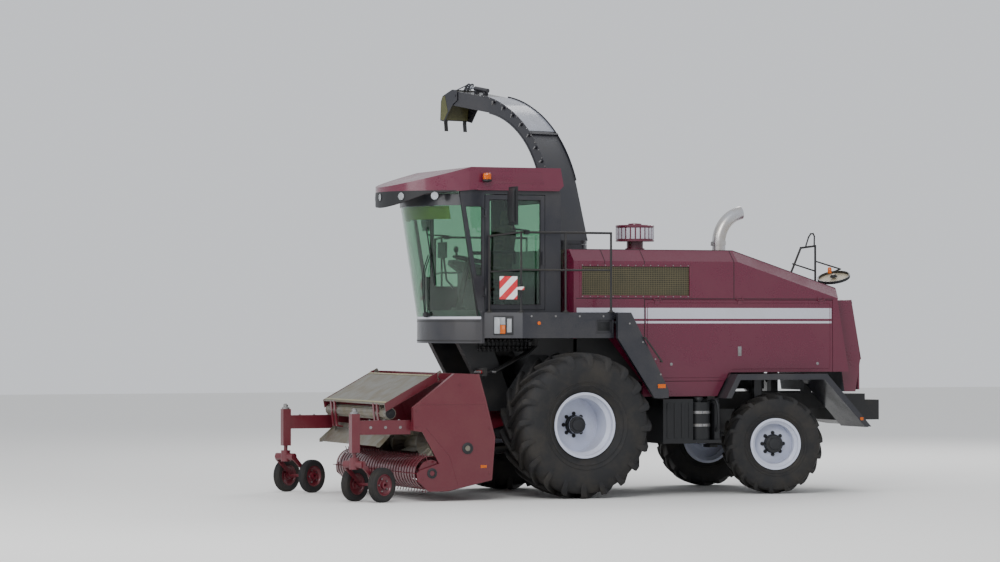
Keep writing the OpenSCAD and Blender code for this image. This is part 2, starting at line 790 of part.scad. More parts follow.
module handrails() color("#17181c") {
    mid = deck_top + 520;
    gate = [1040, cab_half + 40];
    both_sides() {
        tube_run([
            [-410, rail_y, deck_top], [-410, rail_y, rail_top_z], [post_x, rail_y, rail_top_z],
            [gate[0], gate[1], rail_top_z - 40], [gate[0], gate[1], deck_top]
        ], tube_d);
        bar([-410, rail_y, mid], [post_x, rail_y, mid], tube_d - 4);
        bar([post_x, rail_y, mid], [gate[0], gate[1], mid - 20], tube_d - 4);
        for (x = [200, post_x]) bar([x, rail_y, deck_top], [x, rail_y, rail_top_z], tube_d - 2);
        // Grab handle on the front fender
        tube_run([
            [-790, fender_y + 60, 1975], [-790, fender_y + 105, 1975], [-1015, fender_y + 105, 1680],
            [-1015, fender_y + 60, 1680]
        ], 22);
    }
    // Guard at the rear of the hood's slope, with its hoop and the arm of the rear mirror
    translate([0, guard_y, 0]) {
        tube_run([[-3339, 0, hood_z(-3339) + 7], [-3511, 0, 3128], [-3720, 0, 3155], [-3720, 0, hood_z(-3720) + 5]], tube_d);
        tube_run([[-3580, 0, 3142], [-3625, 0, 3270], [-3655, 0, 3312], [-3690, 0, 3315], [-3708, 0, 3280], [-3706, 0, 3150]], 20);
        bar([-3389, 0, 2923], [-3720, 0, 2829], 20);
        tube_run([[-3720, 0, 2958], [-4085, 0, 2858], [-3990, 0, 2822]], 20);
        tube_run([[-3720, 0, 2690], [-3800, 0, 2672], [-3900, 0, 2700]], 20);
    }
}

// Hoses from the couplings at the front to the valves under the platform
module hydraulic_hoses() color("#1b1c1f") {
    for (i = [0 : 3]) {
        y = 610 + 45 * i;
        tube_run([
            [1009, y, 1550], [880, y, 1550], [420, y - 10, 1790], [330, y - 10, 1870], [330, y - 10, deck_bottom - seat_gap]
        ], 26);
        translate([960, y, 1550]) rotate([0, 90, 0]) cylinder(r = 18, h = 50 - seat_gap, $fn = 6);
    }
}

// Round mirror at the rear, which shows the ground behind the machine
module rear_mirror() color("#b3a890") {
    translate([-3990, guard_y, 2748]) rotate([-14, 16, 0]) {
        difference() {
            cylinder(r = 210, h = 30, center = true, $fn = 64);
            translate([0, 0, -13]) cylinder(r = 196, h = 40, $fn = 64);
            translate([0, 0, -17]) cylinder(r = 60, h = 2);
        }
        translate([0, 0, -15]) cylinder(r = 24, h = 60);
    }
}

// Hood

function hood_z(x) = x > hood_break ? hood_top
    : hood_top + (hood_rear_top - hood_top) * (hood_break - x) / (hood_break - hood_rear);

// One section across the hood, smaller by inset all round
function hood_ring(x, inset, low) = [
    [x, inset - hood_half, low], [x, hood_half - inset, low],
    [x, hood_half - inset, hood_z(x) - bevel_drop - inset * 0.4],
    [x, hood_top_half - inset * 0.4, hood_z(x) - inset],
    [x, inset * 0.4 - hood_top_half, hood_z(x) - inset],
    [x, inset - hood_half, hood_z(x) - bevel_drop - inset * 0.4]
];

module hood_body(inset, low) {
    intersection() {
        skin([for (x = [hood_front - inset, hood_break, hood_rear - 150]) hood_ring(x, inset, low)]);
        // Rear end, leaning back towards the ground
        side_profile(concat(
            [[hood_front + 10, low - 10], [hood_front + 10, hood_top + 10]],
            [for (p = hood_rear_line) [p[0] + inset, p[1]]],
            [[hood_rear - 127 + inset, low - 10]]
        ), -hood_half - 10, hood_half + 10);
    }
}

module hood_shell() color("#5a1f38") {
    difference() {
        hood_body(0, hood_bottom);
        hood_body(hood_t, hood_bottom - 200);
        both_sides() {
            // Opening behind the side door
            side_profile(concat(
                [for (i = [0 : 3]) door_outline(0)[i]],
                [[door_rear_x, hood_bottom - 5], [door_foot_x(0), hood_bottom - 5]]
            ), hood_half - hood_t - 5, hood_half + 5);
            // Opening behind the intake screen
            box(-1600, -130, hood_half - hood_t - 5, hood_half + 5, 2500, 2860);
            // Clearance over the drive wheel, along the fender's inner edge
            side_profile([[-10, 1400], [-10, deck_bottom - 6], [-440, deck_bottom - 6], [-950, 1210], [-950, 1400]],
                hood_half - hood_t - 5, hood_half + 5);
        }
        // Lower edge of the rear part
        box(hood_rear - 200, door_split_x, -far, far, hood_bottom - 5, rear_panel_bottom);
        // Below the front wall between the rails
        box(hood_front - hood_t - 2, hood_front + 2, -hood_half - 5, hood_half + 5, hood_bottom - 5, 1700);
        // Ways through the front wall for the crop duct and over the drive wheels
        box(hood_front - hood_t - 2, hood_front + 2, -300, 300, hood_bottom, 1830);
        both_sides() box(hood_front - hood_t - 2, hood_front + 2, 760, hood_half + 5, hood_bottom, deck_bottom - 6);
        // Hole for the exhaust pipe
        translate([exhaust_at[0], exhaust_at[1], hood_rear_top]) cylinder(r = exhaust_r + seat_gap, h = 600);
        // Hole for the spout's turret
        translate([spout_x, 0, hood_top - 200]) cylinder(r = turret_r + 6, h = 300);
    }
    both_sides() {
        // Sill under the side door
        side_profile([
            [-1985, 1236], [-2088, hood_bottom - 6], [door_front_x + 2, hood_bottom - 6], [door_front_x + 2, 1236]
        ], hood_half - hood_t, hood_half);
        box(door_front_x + 1, -955, hood_half - hood_t, hood_half, 1236, hood_bottom + 10);
        // Lugs and pins of the door's hinges
        door_barrels(4, -50, 50);
        for (end = [-50, 32]) {
            door_barrels(9, end, end + 18);
            for (x = door_hinge_x)
                box(x + end, x + end + 18, hood_half - 1, hood_half + 6, door_hinge_z, door_top_z + 40);
        }
    }
}

module intake_screens() color("#4d4a3a") {
    both_sides() box(-1600 + seat_gap, -130 - seat_gap, hood_half - 22, hood_half - 12, 2500 + seat_gap, 2860 - seat_gap);
}

// Height of the front fender's edge, and the door's lower corner that keeps clear of it
function fender_z(x) = deck_top + (x - fender_x0) * (deck_top - fender_low) / (fender_x0 - fender_x1);

function door_foot_x(gap) = fender_x0 - (deck_top - hood_bottom) * (fender_x0 - fender_x1) / (deck_top - fender_low)
    - 6 - gap;

// Outline of a side door, smaller by gap
function door_outline(gap) = [
    [door_foot_x(gap), hood_bottom], [door_front_x - gap, fender_z(door_front_x) + 12 + gap],
    [door_front_x - gap, door_top_z - gap], [door_rear_x + gap, door_top_z - gap],
    [door_rear_x + gap, rear_panel_bottom], [door_split_x, rear_panel_bottom], [door_split_x + 55, hood_bottom]
];

// Barrels along X at a door's hinges, each from one end to the other of its middle
module door_barrels(r, from, to) {
    for (x = door_hinge_x) translate([x + from, door_hinge_y, door_hinge_z]) rotate([0, 90, 0]) cylinder(r = r, h = to - from);
}

module side_door(side) color("#5a1f38") {
    mirror([0, side > 0 ? 0 : 1, 0]) {
        side_profile(door_outline(door_gap), hood_half - hood_t, hood_half);
        difference() {
            union() {
                door_barrels(9, -30, 30);
                for (x = door_hinge_x) box(x - 30, x + 30, hood_half - 1, hood_half + 6, door_top_z - 60, door_hinge_z);
            }
            door_barrels(4 + shaft_gap, -31, 31);
        }
    }
}

module rear_grille() color("#6c6d72") {
    top = [hood_rear - 250, hood_side_top];
    low = [hood_rear - 380, 1686];
    difference() {
        side_profile([
            hood_rear_line[2], top, low, [hood_rear - 310, 1276], [hood_rear - 150, 1276], hood_rear_line[3]
        ], -cab_half, cab_half);
        // Louvres across the sloping rear face
        for (i = [1 : 7]) {
            at = low + (top - low) * i / 8;
            box(at[0] - 30, at[0] + 45, -cab_half + 90, cab_half - 90, at[1] - 22, at[1] + 22);
        }
    }
}

module engine_block() color("#3a3b3f") {
    box(-3000, -1500, -380, 380, 1310, 2150);
    both_sides() for (x = [-1750, -2900]) box(x, x + 120, 379, rail_out - 10, rail_top, 1340);
}

module air_cleaner() color("#57143a") {
    translate([-1210, 300, hood_top]) {
        cylinder(r = 105, h = 118);
        translate([0, 0, 117]) cylinder(r = 240, h = 204);
    }
}

module exhaust_pipe() color("#9a9ca3") {
    r = exhaust_r;
    bend = 400;
    bend_z = 3190;
    foot_z = 2880;
    translate(exhaust_at) {
        difference() {
            union() {
                translate([0, 0, foot_z]) cylinder(r = r, h = bend_z - foot_z);
                translate([0, 0, bend_z - 30]) cylinder(r = r + 8, h = 50);
                translate([-bend, 0, bend_z]) rotate([90, 0, 0]) rotate_extrude(angle = 78, $fn = 64)
                    translate([bend, 0]) circle(r = r);
            }
            translate([-bend, 0, bend_z]) rotate([90, 0, 0]) rotate_extrude(angle = 80, $fn = 64)
                translate([bend, 0]) circle(r = r - 5);
        }
    }
}

// Crop path

module chopper_housing() color("#2c2d33") {
    half = 370;
    cross_rod(drum_x, drum_z, drum_r, -half, half);
    side_profile([
        [300, 860], [560, 800], [560, 1262], [330, 1262], [-165, 1960], [-165, duct_top], [-550, duct_top],
        [-550, 1880], [-20, 1262], [260, 1100]
    ], -290, 290);
    both_sides() {
        // Bearing stub that the feeder house turns on
        cross_rod(drum_x, drum_z, 60, half - 1, half + 40);
        // Flange on the frame rail
        box(280, 400, half - 100, rail_in, rail_bottom + 20, rail_top - 20);
    }
}

module spout_turret() color("#26272e") {
    translate([spout_x, 0, 0]) difference() {
        union() {
            translate([0, 0, duct_top]) cylinder(r = turret_r, h = turret_top - duct_top, $fn = 96);
            translate([0, 0, hood_top]) cylinder(r = turret_r + 40, h = 20, $fn = 96);
        }
        translate([0, 0, duct_top - 1]) cylinder(r = turret_bore_r, h = 400, $fn = 96);
    }
}

// Radius of an arc that starts upwards and ends along chute_dir on a line through a point
function belly_bend(v) = (v[1] * chute_dir[0] - v[0] * chute_dir[1])
    / (chute_n[1] * chute_dir[0] - (1 + chute_n[0]) * chute_dir[1]);

// The chute from the side, smaller by inset and longer by extra at both ends
module chute_outline(inset, extra) {
    r = chute_r - inset;
    b = belly_r + inset;
    foot_top = bend_at + r * foot_n;
    base = foot_top - (chute_foot + extra + 60) * foot_dir;
    end_top = bend_at + r * chute_n + (chute_end + extra) * chute_dir;
    end_low = tip_low + inset * chute_n + extra * chute_dir;
    intersection() {
        difference() {
            union() {
                polygon([base, foot_top, bend_at]);
                intersection() {
                    translate(bend_at) circle(r = r, $fn = 180);
                    polygon([
                        bend_at, bend_at + 2 * r * foot_n, bend_at + 2 * r * (foot_n + chute_n),
                        bend_at + 2 * r * chute_n
                    ]);
                }
                polygon([
                    bend_at - 2 * chute_dir, bend_at + (r - 1) * chute_n - 2 * chute_dir, bend_at + r * chute_n,
                    end_top, end_low, [end_low[0], bend_at[1]]
                ]);
                polygon([base, bend_at, [bend_at[0], base[1]]]);
            }
            translate(belly_at) circle(r = b, $fn = 180);
            polygon([
                [belly_at[0] - b, base[1] - 1], [belly_at[0] - b, belly_at[1]], belly_at,
                belly_at + b * chute_n, end_low + 10 * chute_dir, [end_low[0] + 100, base[1] - 1]
            ]);
        }
        translate([-far, chute_base - extra]) square([2 * far, far]);
    }
}

module at_spout() {
    translate([spout_x, 0, 0]) rotate([0, 0, -spout_heading]) children();
}

module spout_chute() color("#22242e") {
    at_spout() {
        difference() {
            translate([0, chute_w / 2, 0]) rotate([90, 0, 0]) linear_extrude(chute_w) chute_outline(0, 0);
            translate([0, chute_w / 2 - chute_t, 0]) rotate([90, 0, 0]) linear_extrude(chute_w - 2 * chute_t)
                chute_outline(chute_t, 5);
        }
        // Flange across the back, where the two lengths of the chute meet
        translate([bend_at[0], 0, bend_at[1]]) rotate([0, -seam_heading, 0])
            for (x = [-14, 2]) translate([chute_r - 4, -chute_w / 2 - 12, x]) cube([26, chute_w + 24, 12]);
        // Clamps along the left edge
        for (a = [seam_heading - 28 : 7 : seam_heading + 14]) translate([bend_at[0], 0, bend_at[1]]) rotate([0, -a, 0])
            translate([chute_r - 34, chute_w / 2 - 1, -16]) cube([30, 20, 32]);
        // Turning ring and the spigot in the turret
        difference() {
            union() {
                translate([0, 0, turret_top + run_gap]) cylinder(r = turret_r, h = chute_base - turret_top - run_gap + 1, $fn = 96);
                translate([0, 0, turret_top - 90]) cylinder(r = turret_bore_r - shaft_gap, h = 100, $fn = 96);
            }
            translate([0, 0, turret_top - 100]) cylinder(r = turret_bore_r - 32, h = 300, $fn = 96);
        }
        // Pins that the flap tilts on
        for (side = [-1, 1])
            translate([flap_at[0], side > 0 ? chute_w / 2 - 1 : -chute_w / 2 - 19, flap_at[1]]) rotate([-90, 0, 0])
                cylinder(r = flap_pin_r, h = 20);
        // Barrel of the flap cylinder on its bracket
        translate([barrel_at[0], 0, barrel_at[1]]) rotate([0, 90 - chute_rise, 0]) difference() {
            cylinder(r = 30, h = barrel_len);
            translate([0, 0, 50]) cylinder(r = 14 + shaft_gap, h = barrel_len);
        }
        for (x = [20, 200]) translate([barrel_at[0], 0, barrel_at[1]]) rotate([0, -chute_rise, 0])
            box(x, x + 40, -30, 30, -64, -20);
    }
}

module flap_rod() color("#b9bcc4") {
    at_spout() translate([barrel_at[0], 0, barrel_at[1]]) rotate([0, 90 - chute_rise, 0]) {
        translate([0, 0, barrel_len - 120]) cylinder(r = 14, h = lever_pin_at - barrel_len + 120 - 24);
        translate([-22, -20, lever_pin_at - 26]) cube([44, 40, 52]);
        translate([0, 40, lever_pin_at]) rotate([90, 0, 0]) cylinder(r = 8, h = 80);
    }
}

module deflector_flap() color("#2a2c33") {
    // Outline of a cheek, with X along the flap and Z up, from the pin
    cheek = [
        [-50, 60], [40, 85], [250, 10], [285, -60], [300, -310], [215, -330], [120, -200], [40, -110], [-50, -60]
    ];
    at_spout() translate([flap_at[0], 0, flap_at[1]]) {
        for (side = [-1, 1]) difference() {
            y = side > 0 ? chute_w / 2 + 5 : -chute_w / 2 - 13;
            side_profile(cheek, y, y + 8);
            translate([0, y - 1, 0]) rotate([-90, 0, 0]) cylinder(r = flap_pin_r + shaft_gap, h = 10);
        }
        // Back plate that turns the crop down
        side_profile([[56, 78], [250, 2], [277, -62], [292, -310], [300, -310], [285, -60], [256, 12], [60, 86]],
            -chute_w / 2 - 6, chute_w / 2 + 6);
        // Slotted lever that the rod's pin pushes, and its brace
        both_sides() {
            difference() {
                side_profile([[62, 74], [70, 82], [20, 150], [-40, 172], [-74, 160], [-66, 120], [-30, 96]], 24, 32);
                rotate([0, lever_lean - chute_rise, 0]) translate([0, 20, 0]) rotate([-90, 0, 0]) linear_extrude(16)
                    polygon([for (e = [[-1, lever_h - 2], [1, lever_h / cos(30) + 4]]) for (a = [0 : 15 : 180])
                        [-12 * e[0] * cos(a), -e[1] - 12 * e[0] * sin(a)]]);
            }
            bar([246, chute_w / 2 + 6, 0], [-16, 30, 152], 14);
        }
    }
}

// Header

// X and Z of the header's side plate
header_side = [
    [1708, 1546], [1395, 1537], [1301, 1213], [1185, 765], [1226, 257], [1444, 210], [1791, 133], [2039, 133],
    [2180, 257], [2188, 350], [2154, 381], [1908, 459], [2122, 843], [2237, 859], [2237, 1137]
];

// Rear of the header's back sheet at a given height, less the gap to what carries it
function back_x(z) = 1185 - seat_gap + (z > 765 ? (z - 765) * 116 / 448 : (765 - z) * 41 / 508);

module feeder_house() color("#4f1522") {
    half = 370;
    difference() {
        side_profile([[760, 1300], [1262, 1178], [1172, 620], [1172, 560], [760, 640]], -half, half);
        cross_rod(drum_x, drum_z, drum_r + run_gap, -half - 1, half + 1);
    }
    // Flange that the header hangs on
    side_profile([
        [back_x(1205), 1205], [back_x(765), 765], [back_x(530), 530],
        [back_x(530) - 30, 530], [back_x(765) - 30, 765], [back_x(1205) - 30, 1205]
    ], -450, 450);
    both_sides() {
        // Cheek that turns on the chopper housing's stub
        difference() {
            side_profile([[drum_x, drum_z + 100], [900, 1150], [900, 800], [drum_x, drum_z - 100]], half + 5, half + 35);
            cross_rod(drum_x, drum_z, 60 + shaft_gap, half, half + 40);
        }
        box(880, 960, half - 1, half + 6, 850, 1100);
        // Lugs and pin for the lift cylinder
        for (y = [lift_y - 58, lift_y + 38])
            side_profile([[1040, 600], [1170, 590], [1165, 490], [1140, 472], [1090, 476]], y, y + 20);
        cross_rod(lift_lug_x, lift_lug_z, lift_pin_r, lift_y - 58, lift_y + 58);
    }
}

module lift_barrels() color("#26272b") {
    both_sides() difference() {
        union() {
            lift_line() translate([0, 0, 20]) cylinder(r = 46, h = 620);
            cross_rod(lift_foot_x, lift_foot_z, 62, lift_y - 48, lift_y + 48);
        }
        lift_line() translate([0, 0, 430]) cylinder(r = 28 + shaft_gap, h = 230);
        cross_rod(lift_foot_x, lift_foot_z, lift_pin_r + shaft_gap, lift_y - 50, lift_y + 50);
    }
}

// Turns Z along the line from a lift cylinder's foot to the feeder's lug
module lift_line() {
    angle = atan2(lift_lug_z - lift_foot_z, lift_lug_x - lift_foot_x);
    translate([lift_foot_x, lift_y, lift_foot_z]) rotate([0, 90 - angle, 0]) children();
}

module lift_rods() color("#b9bcc4") {
    both_sides() difference() {
        union() {
            lift_line() translate([0, 0, 440]) cylinder(r = 28, h = 540);
            cross_rod(lift_lug_x, lift_lug_z, 44, lift_y - 34, lift_y + 34);
        }
        // The eye is loose on its pin, which moves on a slight curve
        cross_rod(lift_lug_x, lift_lug_z, lift_pin_r + 3.2, lift_y - 40, lift_y + 40);
    }
}

module header_frame() color("#4f1522") {
    inner = header_half - side_t;
    both_sides() {
        difference() {
            side_profile(header_side, inner, header_half);
            cross_rod(auger_x, auger_z, auger_shaft_r + shaft_gap, inner - 1, header_half + 1);
            cross_rod(reel_x, reel_z, reel_shaft_r + shaft_gap, inner - 1, header_half + 1);
        }
        // Folded edge along the front and the top
        side_profile([[2237, 1137], [1708, 1546], [1395, 1537], [1398, 1529], [1705, 1538], [2229, 1132]], inner - 60, inner + 1);
        side_profile([[2237, 859], [2237, 1137], [2229, 1134], [2229, 859]], inner - 60, inner + 1);
    }
    difference() {
        union() {
            // Back sheet along the side plates' rear edge
            side_profile([
                [1395, 1537], [1301, 1213], [1185, 765], [1226, 257], [1240, 258], [1199, 766], [1315, 1210], [1409, 1533]
            ], -inner - 1, inner + 1);
            // Top beam and lower beam
            side_profile([[1408, 1536], [1560, 1540], [1560, 1420], [1377, 1420]], -inner - 1, inner + 1);
            side_profile([[1226, 257], [1444, 211], [1450, 225], [1240, 275]], -inner - 1, inner + 1);
        }
        box(1100, 1350, -mouth_half, mouth_half, 540, 1200);
    }
    // Trough under the auger
    difference() {
        intersection() {
            cross_rod(auger_x, auger_z, auger_r + 40, -inner - 1, inner + 1);
            side_profile([[1245, 560], [auger_x, auger_z - 60], [1745, 454], [1745, 250], [1240, 250]], -inner - 1, inner + 1);
        }
        cross_rod(auger_x, auger_z, auger_r + 30, -inner - 2, inner + 2);
    }
    both_sides() {
        // Arm and pin that the wind guard hangs on
        side_profile([[1540, 1440], [1560, 1539], [1780, 1545], [1796, 1500], [1770, 1475]], 1140, 1154);
        cross_rod(guard_x, guard_z, 20, 1112, 1141);
        // Beam that carries the caster post
        box(2230, 2880, caster_y - 50, caster_y + 50, 815, 985);
        box(2150, 2232, caster_y - 50, inner + 1, 860, 960);
        difference() {
            box(2878, 2980, caster_y - 55, caster_y + 55, 600, 1065);
            translate([caster_x, caster_y, 590]) cylinder(r = 25 + shaft_gap, h = 500);
        }
    }
}

module wind_guard() color("#8a8468") {
    side_profile([[2480, 1165], [1860, 1505], [1866, 1517], [2486, 1177]], -1121, 1121);
    both_sides() {
        // Side flange, which turns on the header's pin
        difference() {
            side_profile([[2488, 1182], [1760, 1581], [1726, 1520], [1790, 1450], [2470, 1080]], 1120, 1134);
            cross_rod(guard_x, guard_z, 20 + shaft_gap, 1110, 1140);
        }
        // Arm that carries the roller and the press plate
        side_profile([[2400, 1208], [2470, 1172], [2440, 1040], [2410, 790], [2380, 790], [2350, 1050]], 900, 914);
        // Upright flange at the plate's side edge
        side_profile([[2310, 870], [2350, 870], [2560, 690], [2560, 650], [2520, 650]], 1056, 1064);
    }
    cross_rod(2395, 1060, 70, -1100, 1100);
    side_profile([[2330, 838], [2360, 838], [2546, 668], [2540, 660], [2356, 828], [2330, 828]], -1060, 1060);
    side_profile([[2330, 838], [2330, 900], [2340, 900], [2340, 838]], -1060, 1060);
}

// A flight about Y from one offset to another, in triangles whose diagonals match on both faces
module flight(r_in, r_out, from, to, turns) {
    steps = ceil(20 * turns);
    polyhedron(
        points = [for (i = [0 : steps]) let (a = 360 * turns * i / steps, y = from + (to - from) * i / steps)
            for (p = [[r_in, -3], [r_out, -3], [r_out, 3], [r_in, 3]]) [p[0] * sin(a), y + p[1], p[0] * cos(a)]],
        faces = concat(
            [[3, 2, 1, 0]],
            [for (i = [0 : 4 : 4 * steps - 4]) for (t = [
                [0, 1, 5], [0, 5, 4], [1, 2, 6], [1, 6, 5], [2, 3, 6], [3, 7, 6], [3, 0, 4], [3, 4, 7]
            ]) [t[0] + i, t[1] + i, t[2] + i]],
            [[for (k = [0 : 3]) 4 * steps + k]]
        )
    );
}

module auger() color("#5b5c60") {
    inner = header_half - side_t;
    tube_r = 110;
    cross_rod(auger_x, auger_z, tube_r, -inner + 10, inner - 10);
    cross_rod(auger_x, auger_z, auger_shaft_r, -header_half - 10, header_half + 10);
    translate([auger_x, 0, auger_z]) {
        // Flights that carry the crop inwards from both sides
        both_sides() rotate([0, 7, 0]) flight(tube_r - 8, auger_r, mouth_half - 60, inner - 16, 2.25);
        // Paddles that throw it into the feeder
        for (a = [0 : 90 : 270]) rotate([0, a + 20, 0]) box(tube_r - 6, auger_r - 40, -260, 260, -4, 4);
    }
}

module pickup_reel() color("#5b1a28") {
    inner = header_half - side_t;
    bar_r = 140;
    cross_rod(reel_x, reel_z, 45, -inner + 10, inner - 10);
    cross_rod(reel_x, reel_z, reel_shaft_r, -header_half - 10, header_half + 10);
    translate([reel_x, 0, reel_z]) {
        for (y = [-inner + 26, -480, 480, inner - 34]) cross_rod(0, 0, bar_r + 20, y, y + 8);
        for (a = [0 : 360 / tine_bars : 359]) rotate([0, a, 0]) {
            cross_rod(bar_r, 0, 15, -inner + bar_room, inner - bar_room);
            for (i = [0 : band_count]) box(bar_r, reel_r, band_y(i) - band_pitch / 2 - 4, band_y(i) - band_pitch / 2 + 4, -4, 4);
        }
    }
}

function band_y(i) = (i - (band_count - 1) / 2) * band_pitch;

// Bands that strip the crop off the tines, with the beams that carry them
module stripper_bands() color("#5b1a28") {
    inner = header_half - side_t - seat_gap;
    r = 206;
    t = 6;
    wide = 62;
    for (i = [0 : band_count - 1]) translate([reel_x, band_y(i) + wide / 2, reel_z]) rotate([90, 0, 0])
        linear_extrude(wide) {
            difference() {
                circle(r = r, $fn = 64);
                circle(r = r - t, $fn = 64);
                polygon([[0, 0], 400 * [cos(110), sin(110)], [-400, 0], 400 * [cos(110), -sin(110)]]);
            }
            polygon([
                r * [cos(110), sin(110)], (r - t) * [cos(109), sin(109)], [-234, 87], [-246, 19], [-256, 19], [-243, 93]
            ]);
            polygon([r * [cos(110), -sin(110)], (r - t) * [cos(109), -sin(109)], [-252, -149], [-252, -157]]);
        }
    box(reel_x - 278, reel_x - 252, -inner, inner, reel_z + 15, reel_z + 41);
    box(reel_x - 278, reel_x - 252, -inner, inner, reel_z - 165, reel_z - 139);
}

module at_caster(side) {
    translate([caster_x, side * caster_y, 0]) rotate([0, 0, caster_turn]) children();
}

module caster(side) color("#5b1a28") {
    axle_z = caster_d / 2;
    at_caster(side) {
        translate([0, 0, 460]) cylinder(r = 25, h = 640);
        translate([0, 0, 400]) cylinder(r = 60, h = 140);
        cross_rod(0, 460, 45, -wheel_gap, wheel_gap);
        for (y = [-wheel_gap, wheel_gap])
            side_profile([
                [20, 500], [20, 420], [-caster_trail - 40, axle_z - 40], [-caster_trail + 10, axle_z + 50]
            ], y - 12, y + 12);
        cross_rod(-caster_trail, axle_z, 18, -wheel_gap - 90, wheel_gap + 90);
    }
}

module caster_wheels(side) color("#1b1b1d") {
    axle_z = caster_d / 2;
    at_caster(side) for (y = [-wheel_gap - 70, wheel_gap + 70]) translate([-caster_trail, y, axle_z]) difference() {
        revolved(mirrored_profile([
            [0, 44], [34, 44], [40, 20], [112, 12], [126, 42], [150, 50], [caster_d / 2 - 20, 46], [caster_d / 2, 22]
        ]));
        cross_rod(0, 0, 18 + shaft_gap, -60, 60);
    }
}

placed() main_frame();
placed() drive_axle();
placed() rear_axle();
placed() steering_rod();
placed() knuckle(1);  // knuckle_left
placed() knuckle(-1);  // knuckle_right
placed() drive_rim(1);  // drive_rim_left
placed() drive_rim(-1);  // drive_rim_right
placed() drive_tyre(1);  // drive_tyre_left
placed() drive_tyre(-1);  // drive_tyre_right
placed() steer_rim(1);  // steer_rim_left
placed() steer_rim(-1);  // steer_rim_right
placed() steer_tyre(1);  // steer_tyre_left
placed() steer_tyre(-1);  // steer_tyre_right
placed() platform();
placed() front_fenders();
placed() rear_fenders();
placed() tanks();
placed() counterweight();
placed() cab_shell();
placed() cab_roof();
placed() cab_glass();
placed() cab_door();
placed() door_glass();
placed() operator_seat();
placed() steering_column();
placed() lamps();
placed() mirrors();
placed() rear_mirror();
placed() hydraulic_hoses();
placed() warning_boards();
placed() handrails();
placed() hood_shell();
placed() intake_screens();
placed() side_door(1);  // side_door_left
placed() side_door(-1);  // side_door_right
placed() rear_grille();
placed() engine_block();
placed() air_cleaner();
placed() exhaust_pipe();
placed() chopper_housing();
placed() spout_turret();
placed() spout_chute();
placed() flap_rod();
placed() deflector_flap();
placed() feeder_house();
placed() lift_barrels();
placed() lift_rods();
placed() header_frame();
placed() wind_guard();
placed() auger();
placed() pickup_reel();
placed() stripper_bands();
placed() caster(1);  // caster_left
placed() caster(-1);  // caster_right
placed() caster_wheels(1);  // caster_wheels_left
placed() caster_wheels(-1);  // caster_wheels_right
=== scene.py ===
# %% [markdown]
# # A forage harvester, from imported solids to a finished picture
#
# The solids of this machine come packed from the CAD step. They already have the right size and the
# right joints, so Blender adds what solids lack: paint, rubber, glass, tread bars, bolts, seams, lenses
# and a padded seat.
#
# Every length is in metres. The helpers below take points as the builder measured them, from the
# middle of the drive axle on the ground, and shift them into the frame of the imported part.

# %% Frame, origin and imports
import json
import math

import bmesh
import bpy
from mathutils import Matrix, Vector


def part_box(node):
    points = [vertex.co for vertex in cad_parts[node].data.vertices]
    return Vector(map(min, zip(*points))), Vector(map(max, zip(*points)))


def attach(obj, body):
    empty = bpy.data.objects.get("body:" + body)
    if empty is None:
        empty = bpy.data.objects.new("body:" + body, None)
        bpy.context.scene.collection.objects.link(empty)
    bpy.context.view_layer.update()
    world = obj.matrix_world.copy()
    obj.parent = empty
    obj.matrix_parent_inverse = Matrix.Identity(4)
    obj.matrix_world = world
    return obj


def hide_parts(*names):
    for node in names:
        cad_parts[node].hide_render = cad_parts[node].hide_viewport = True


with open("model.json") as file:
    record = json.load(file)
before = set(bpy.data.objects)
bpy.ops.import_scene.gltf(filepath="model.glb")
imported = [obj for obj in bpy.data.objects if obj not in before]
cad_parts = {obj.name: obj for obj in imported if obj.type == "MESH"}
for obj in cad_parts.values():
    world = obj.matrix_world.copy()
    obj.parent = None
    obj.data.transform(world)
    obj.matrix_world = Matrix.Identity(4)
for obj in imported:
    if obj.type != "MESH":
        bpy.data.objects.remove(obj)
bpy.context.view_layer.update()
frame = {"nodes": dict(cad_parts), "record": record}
axle_low, axle_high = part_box("drive_axle")
ORIGIN = Vector(((axle_low[0] + axle_high[0]) / 2, (axle_low[1] + axle_high[1]) / 2, 0))

# %% [markdown]
# ## The camera first
#
# The photograph was taken from far away with a long lens, a little ahead of the machine's left side.
# A long lens keeps upright lines upright, so one small tilt upwards is enough and no shift is needed.
# The distance of 43 m and the height of 2.17 m come from how the wheels and the roof line up.

# %% Camera
LENS_MM = 123.2
SENSOR_MM = 36
CAMERA_PLACE = Vector((16.70, 40.04, 2.166))
LOOK_ALONG = Vector((-0.3746, -0.927))
TILT_UP = 0.69
camera = bpy.data.objects.new("camera", bpy.data.cameras.new("camera"))
bpy.context.scene.collection.objects.link(camera)
camera.data.lens = LENS_MM
camera.data.sensor_width = SENSOR_MM
camera.data.clip_end = 200
camera.location = ORIGIN + CAMERA_PLACE
heading = math.atan2(LOOK_ALONG.y, LOOK_ALONG.x)
camera.rotation_euler = (math.radians(90 + TILT_UP), 0, heading - math.pi / 2)
bpy.context.scene.camera = camera
print("camera at", tuple(camera.location))

# %% [markdown]
# ## Small tools for meshes
#
# A bmesh is Blender's editable mesh in code. Each tool below adds one simple form to a bmesh. Plates
# and bars are prisms, round parts are turned from a profile, and hoses and seams are tubes. Wherever
# a form is a row of rings, `bridge` lays the faces between them.

# %% Prisms and boxes
def add_prism(bm, outline, y0, y1):
    """A plate or bar: an outline in X and Z, from y0 to y1."""
    low = [bm.verts.new((x, y0, z)) for x, z in outline]
    high = [bm.verts.new((x, y1, z)) for x, z in outline]
    count = len(outline)
    faces = [bm.faces.new(low), bm.faces.new(high[::-1])]
    for i in range(count):
        j = (i + 1) % count
        faces.append(bm.faces.new((low[j], low[i], high[i], high[j])))
    bmesh.ops.recalc_face_normals(bm, faces=faces)
    return faces


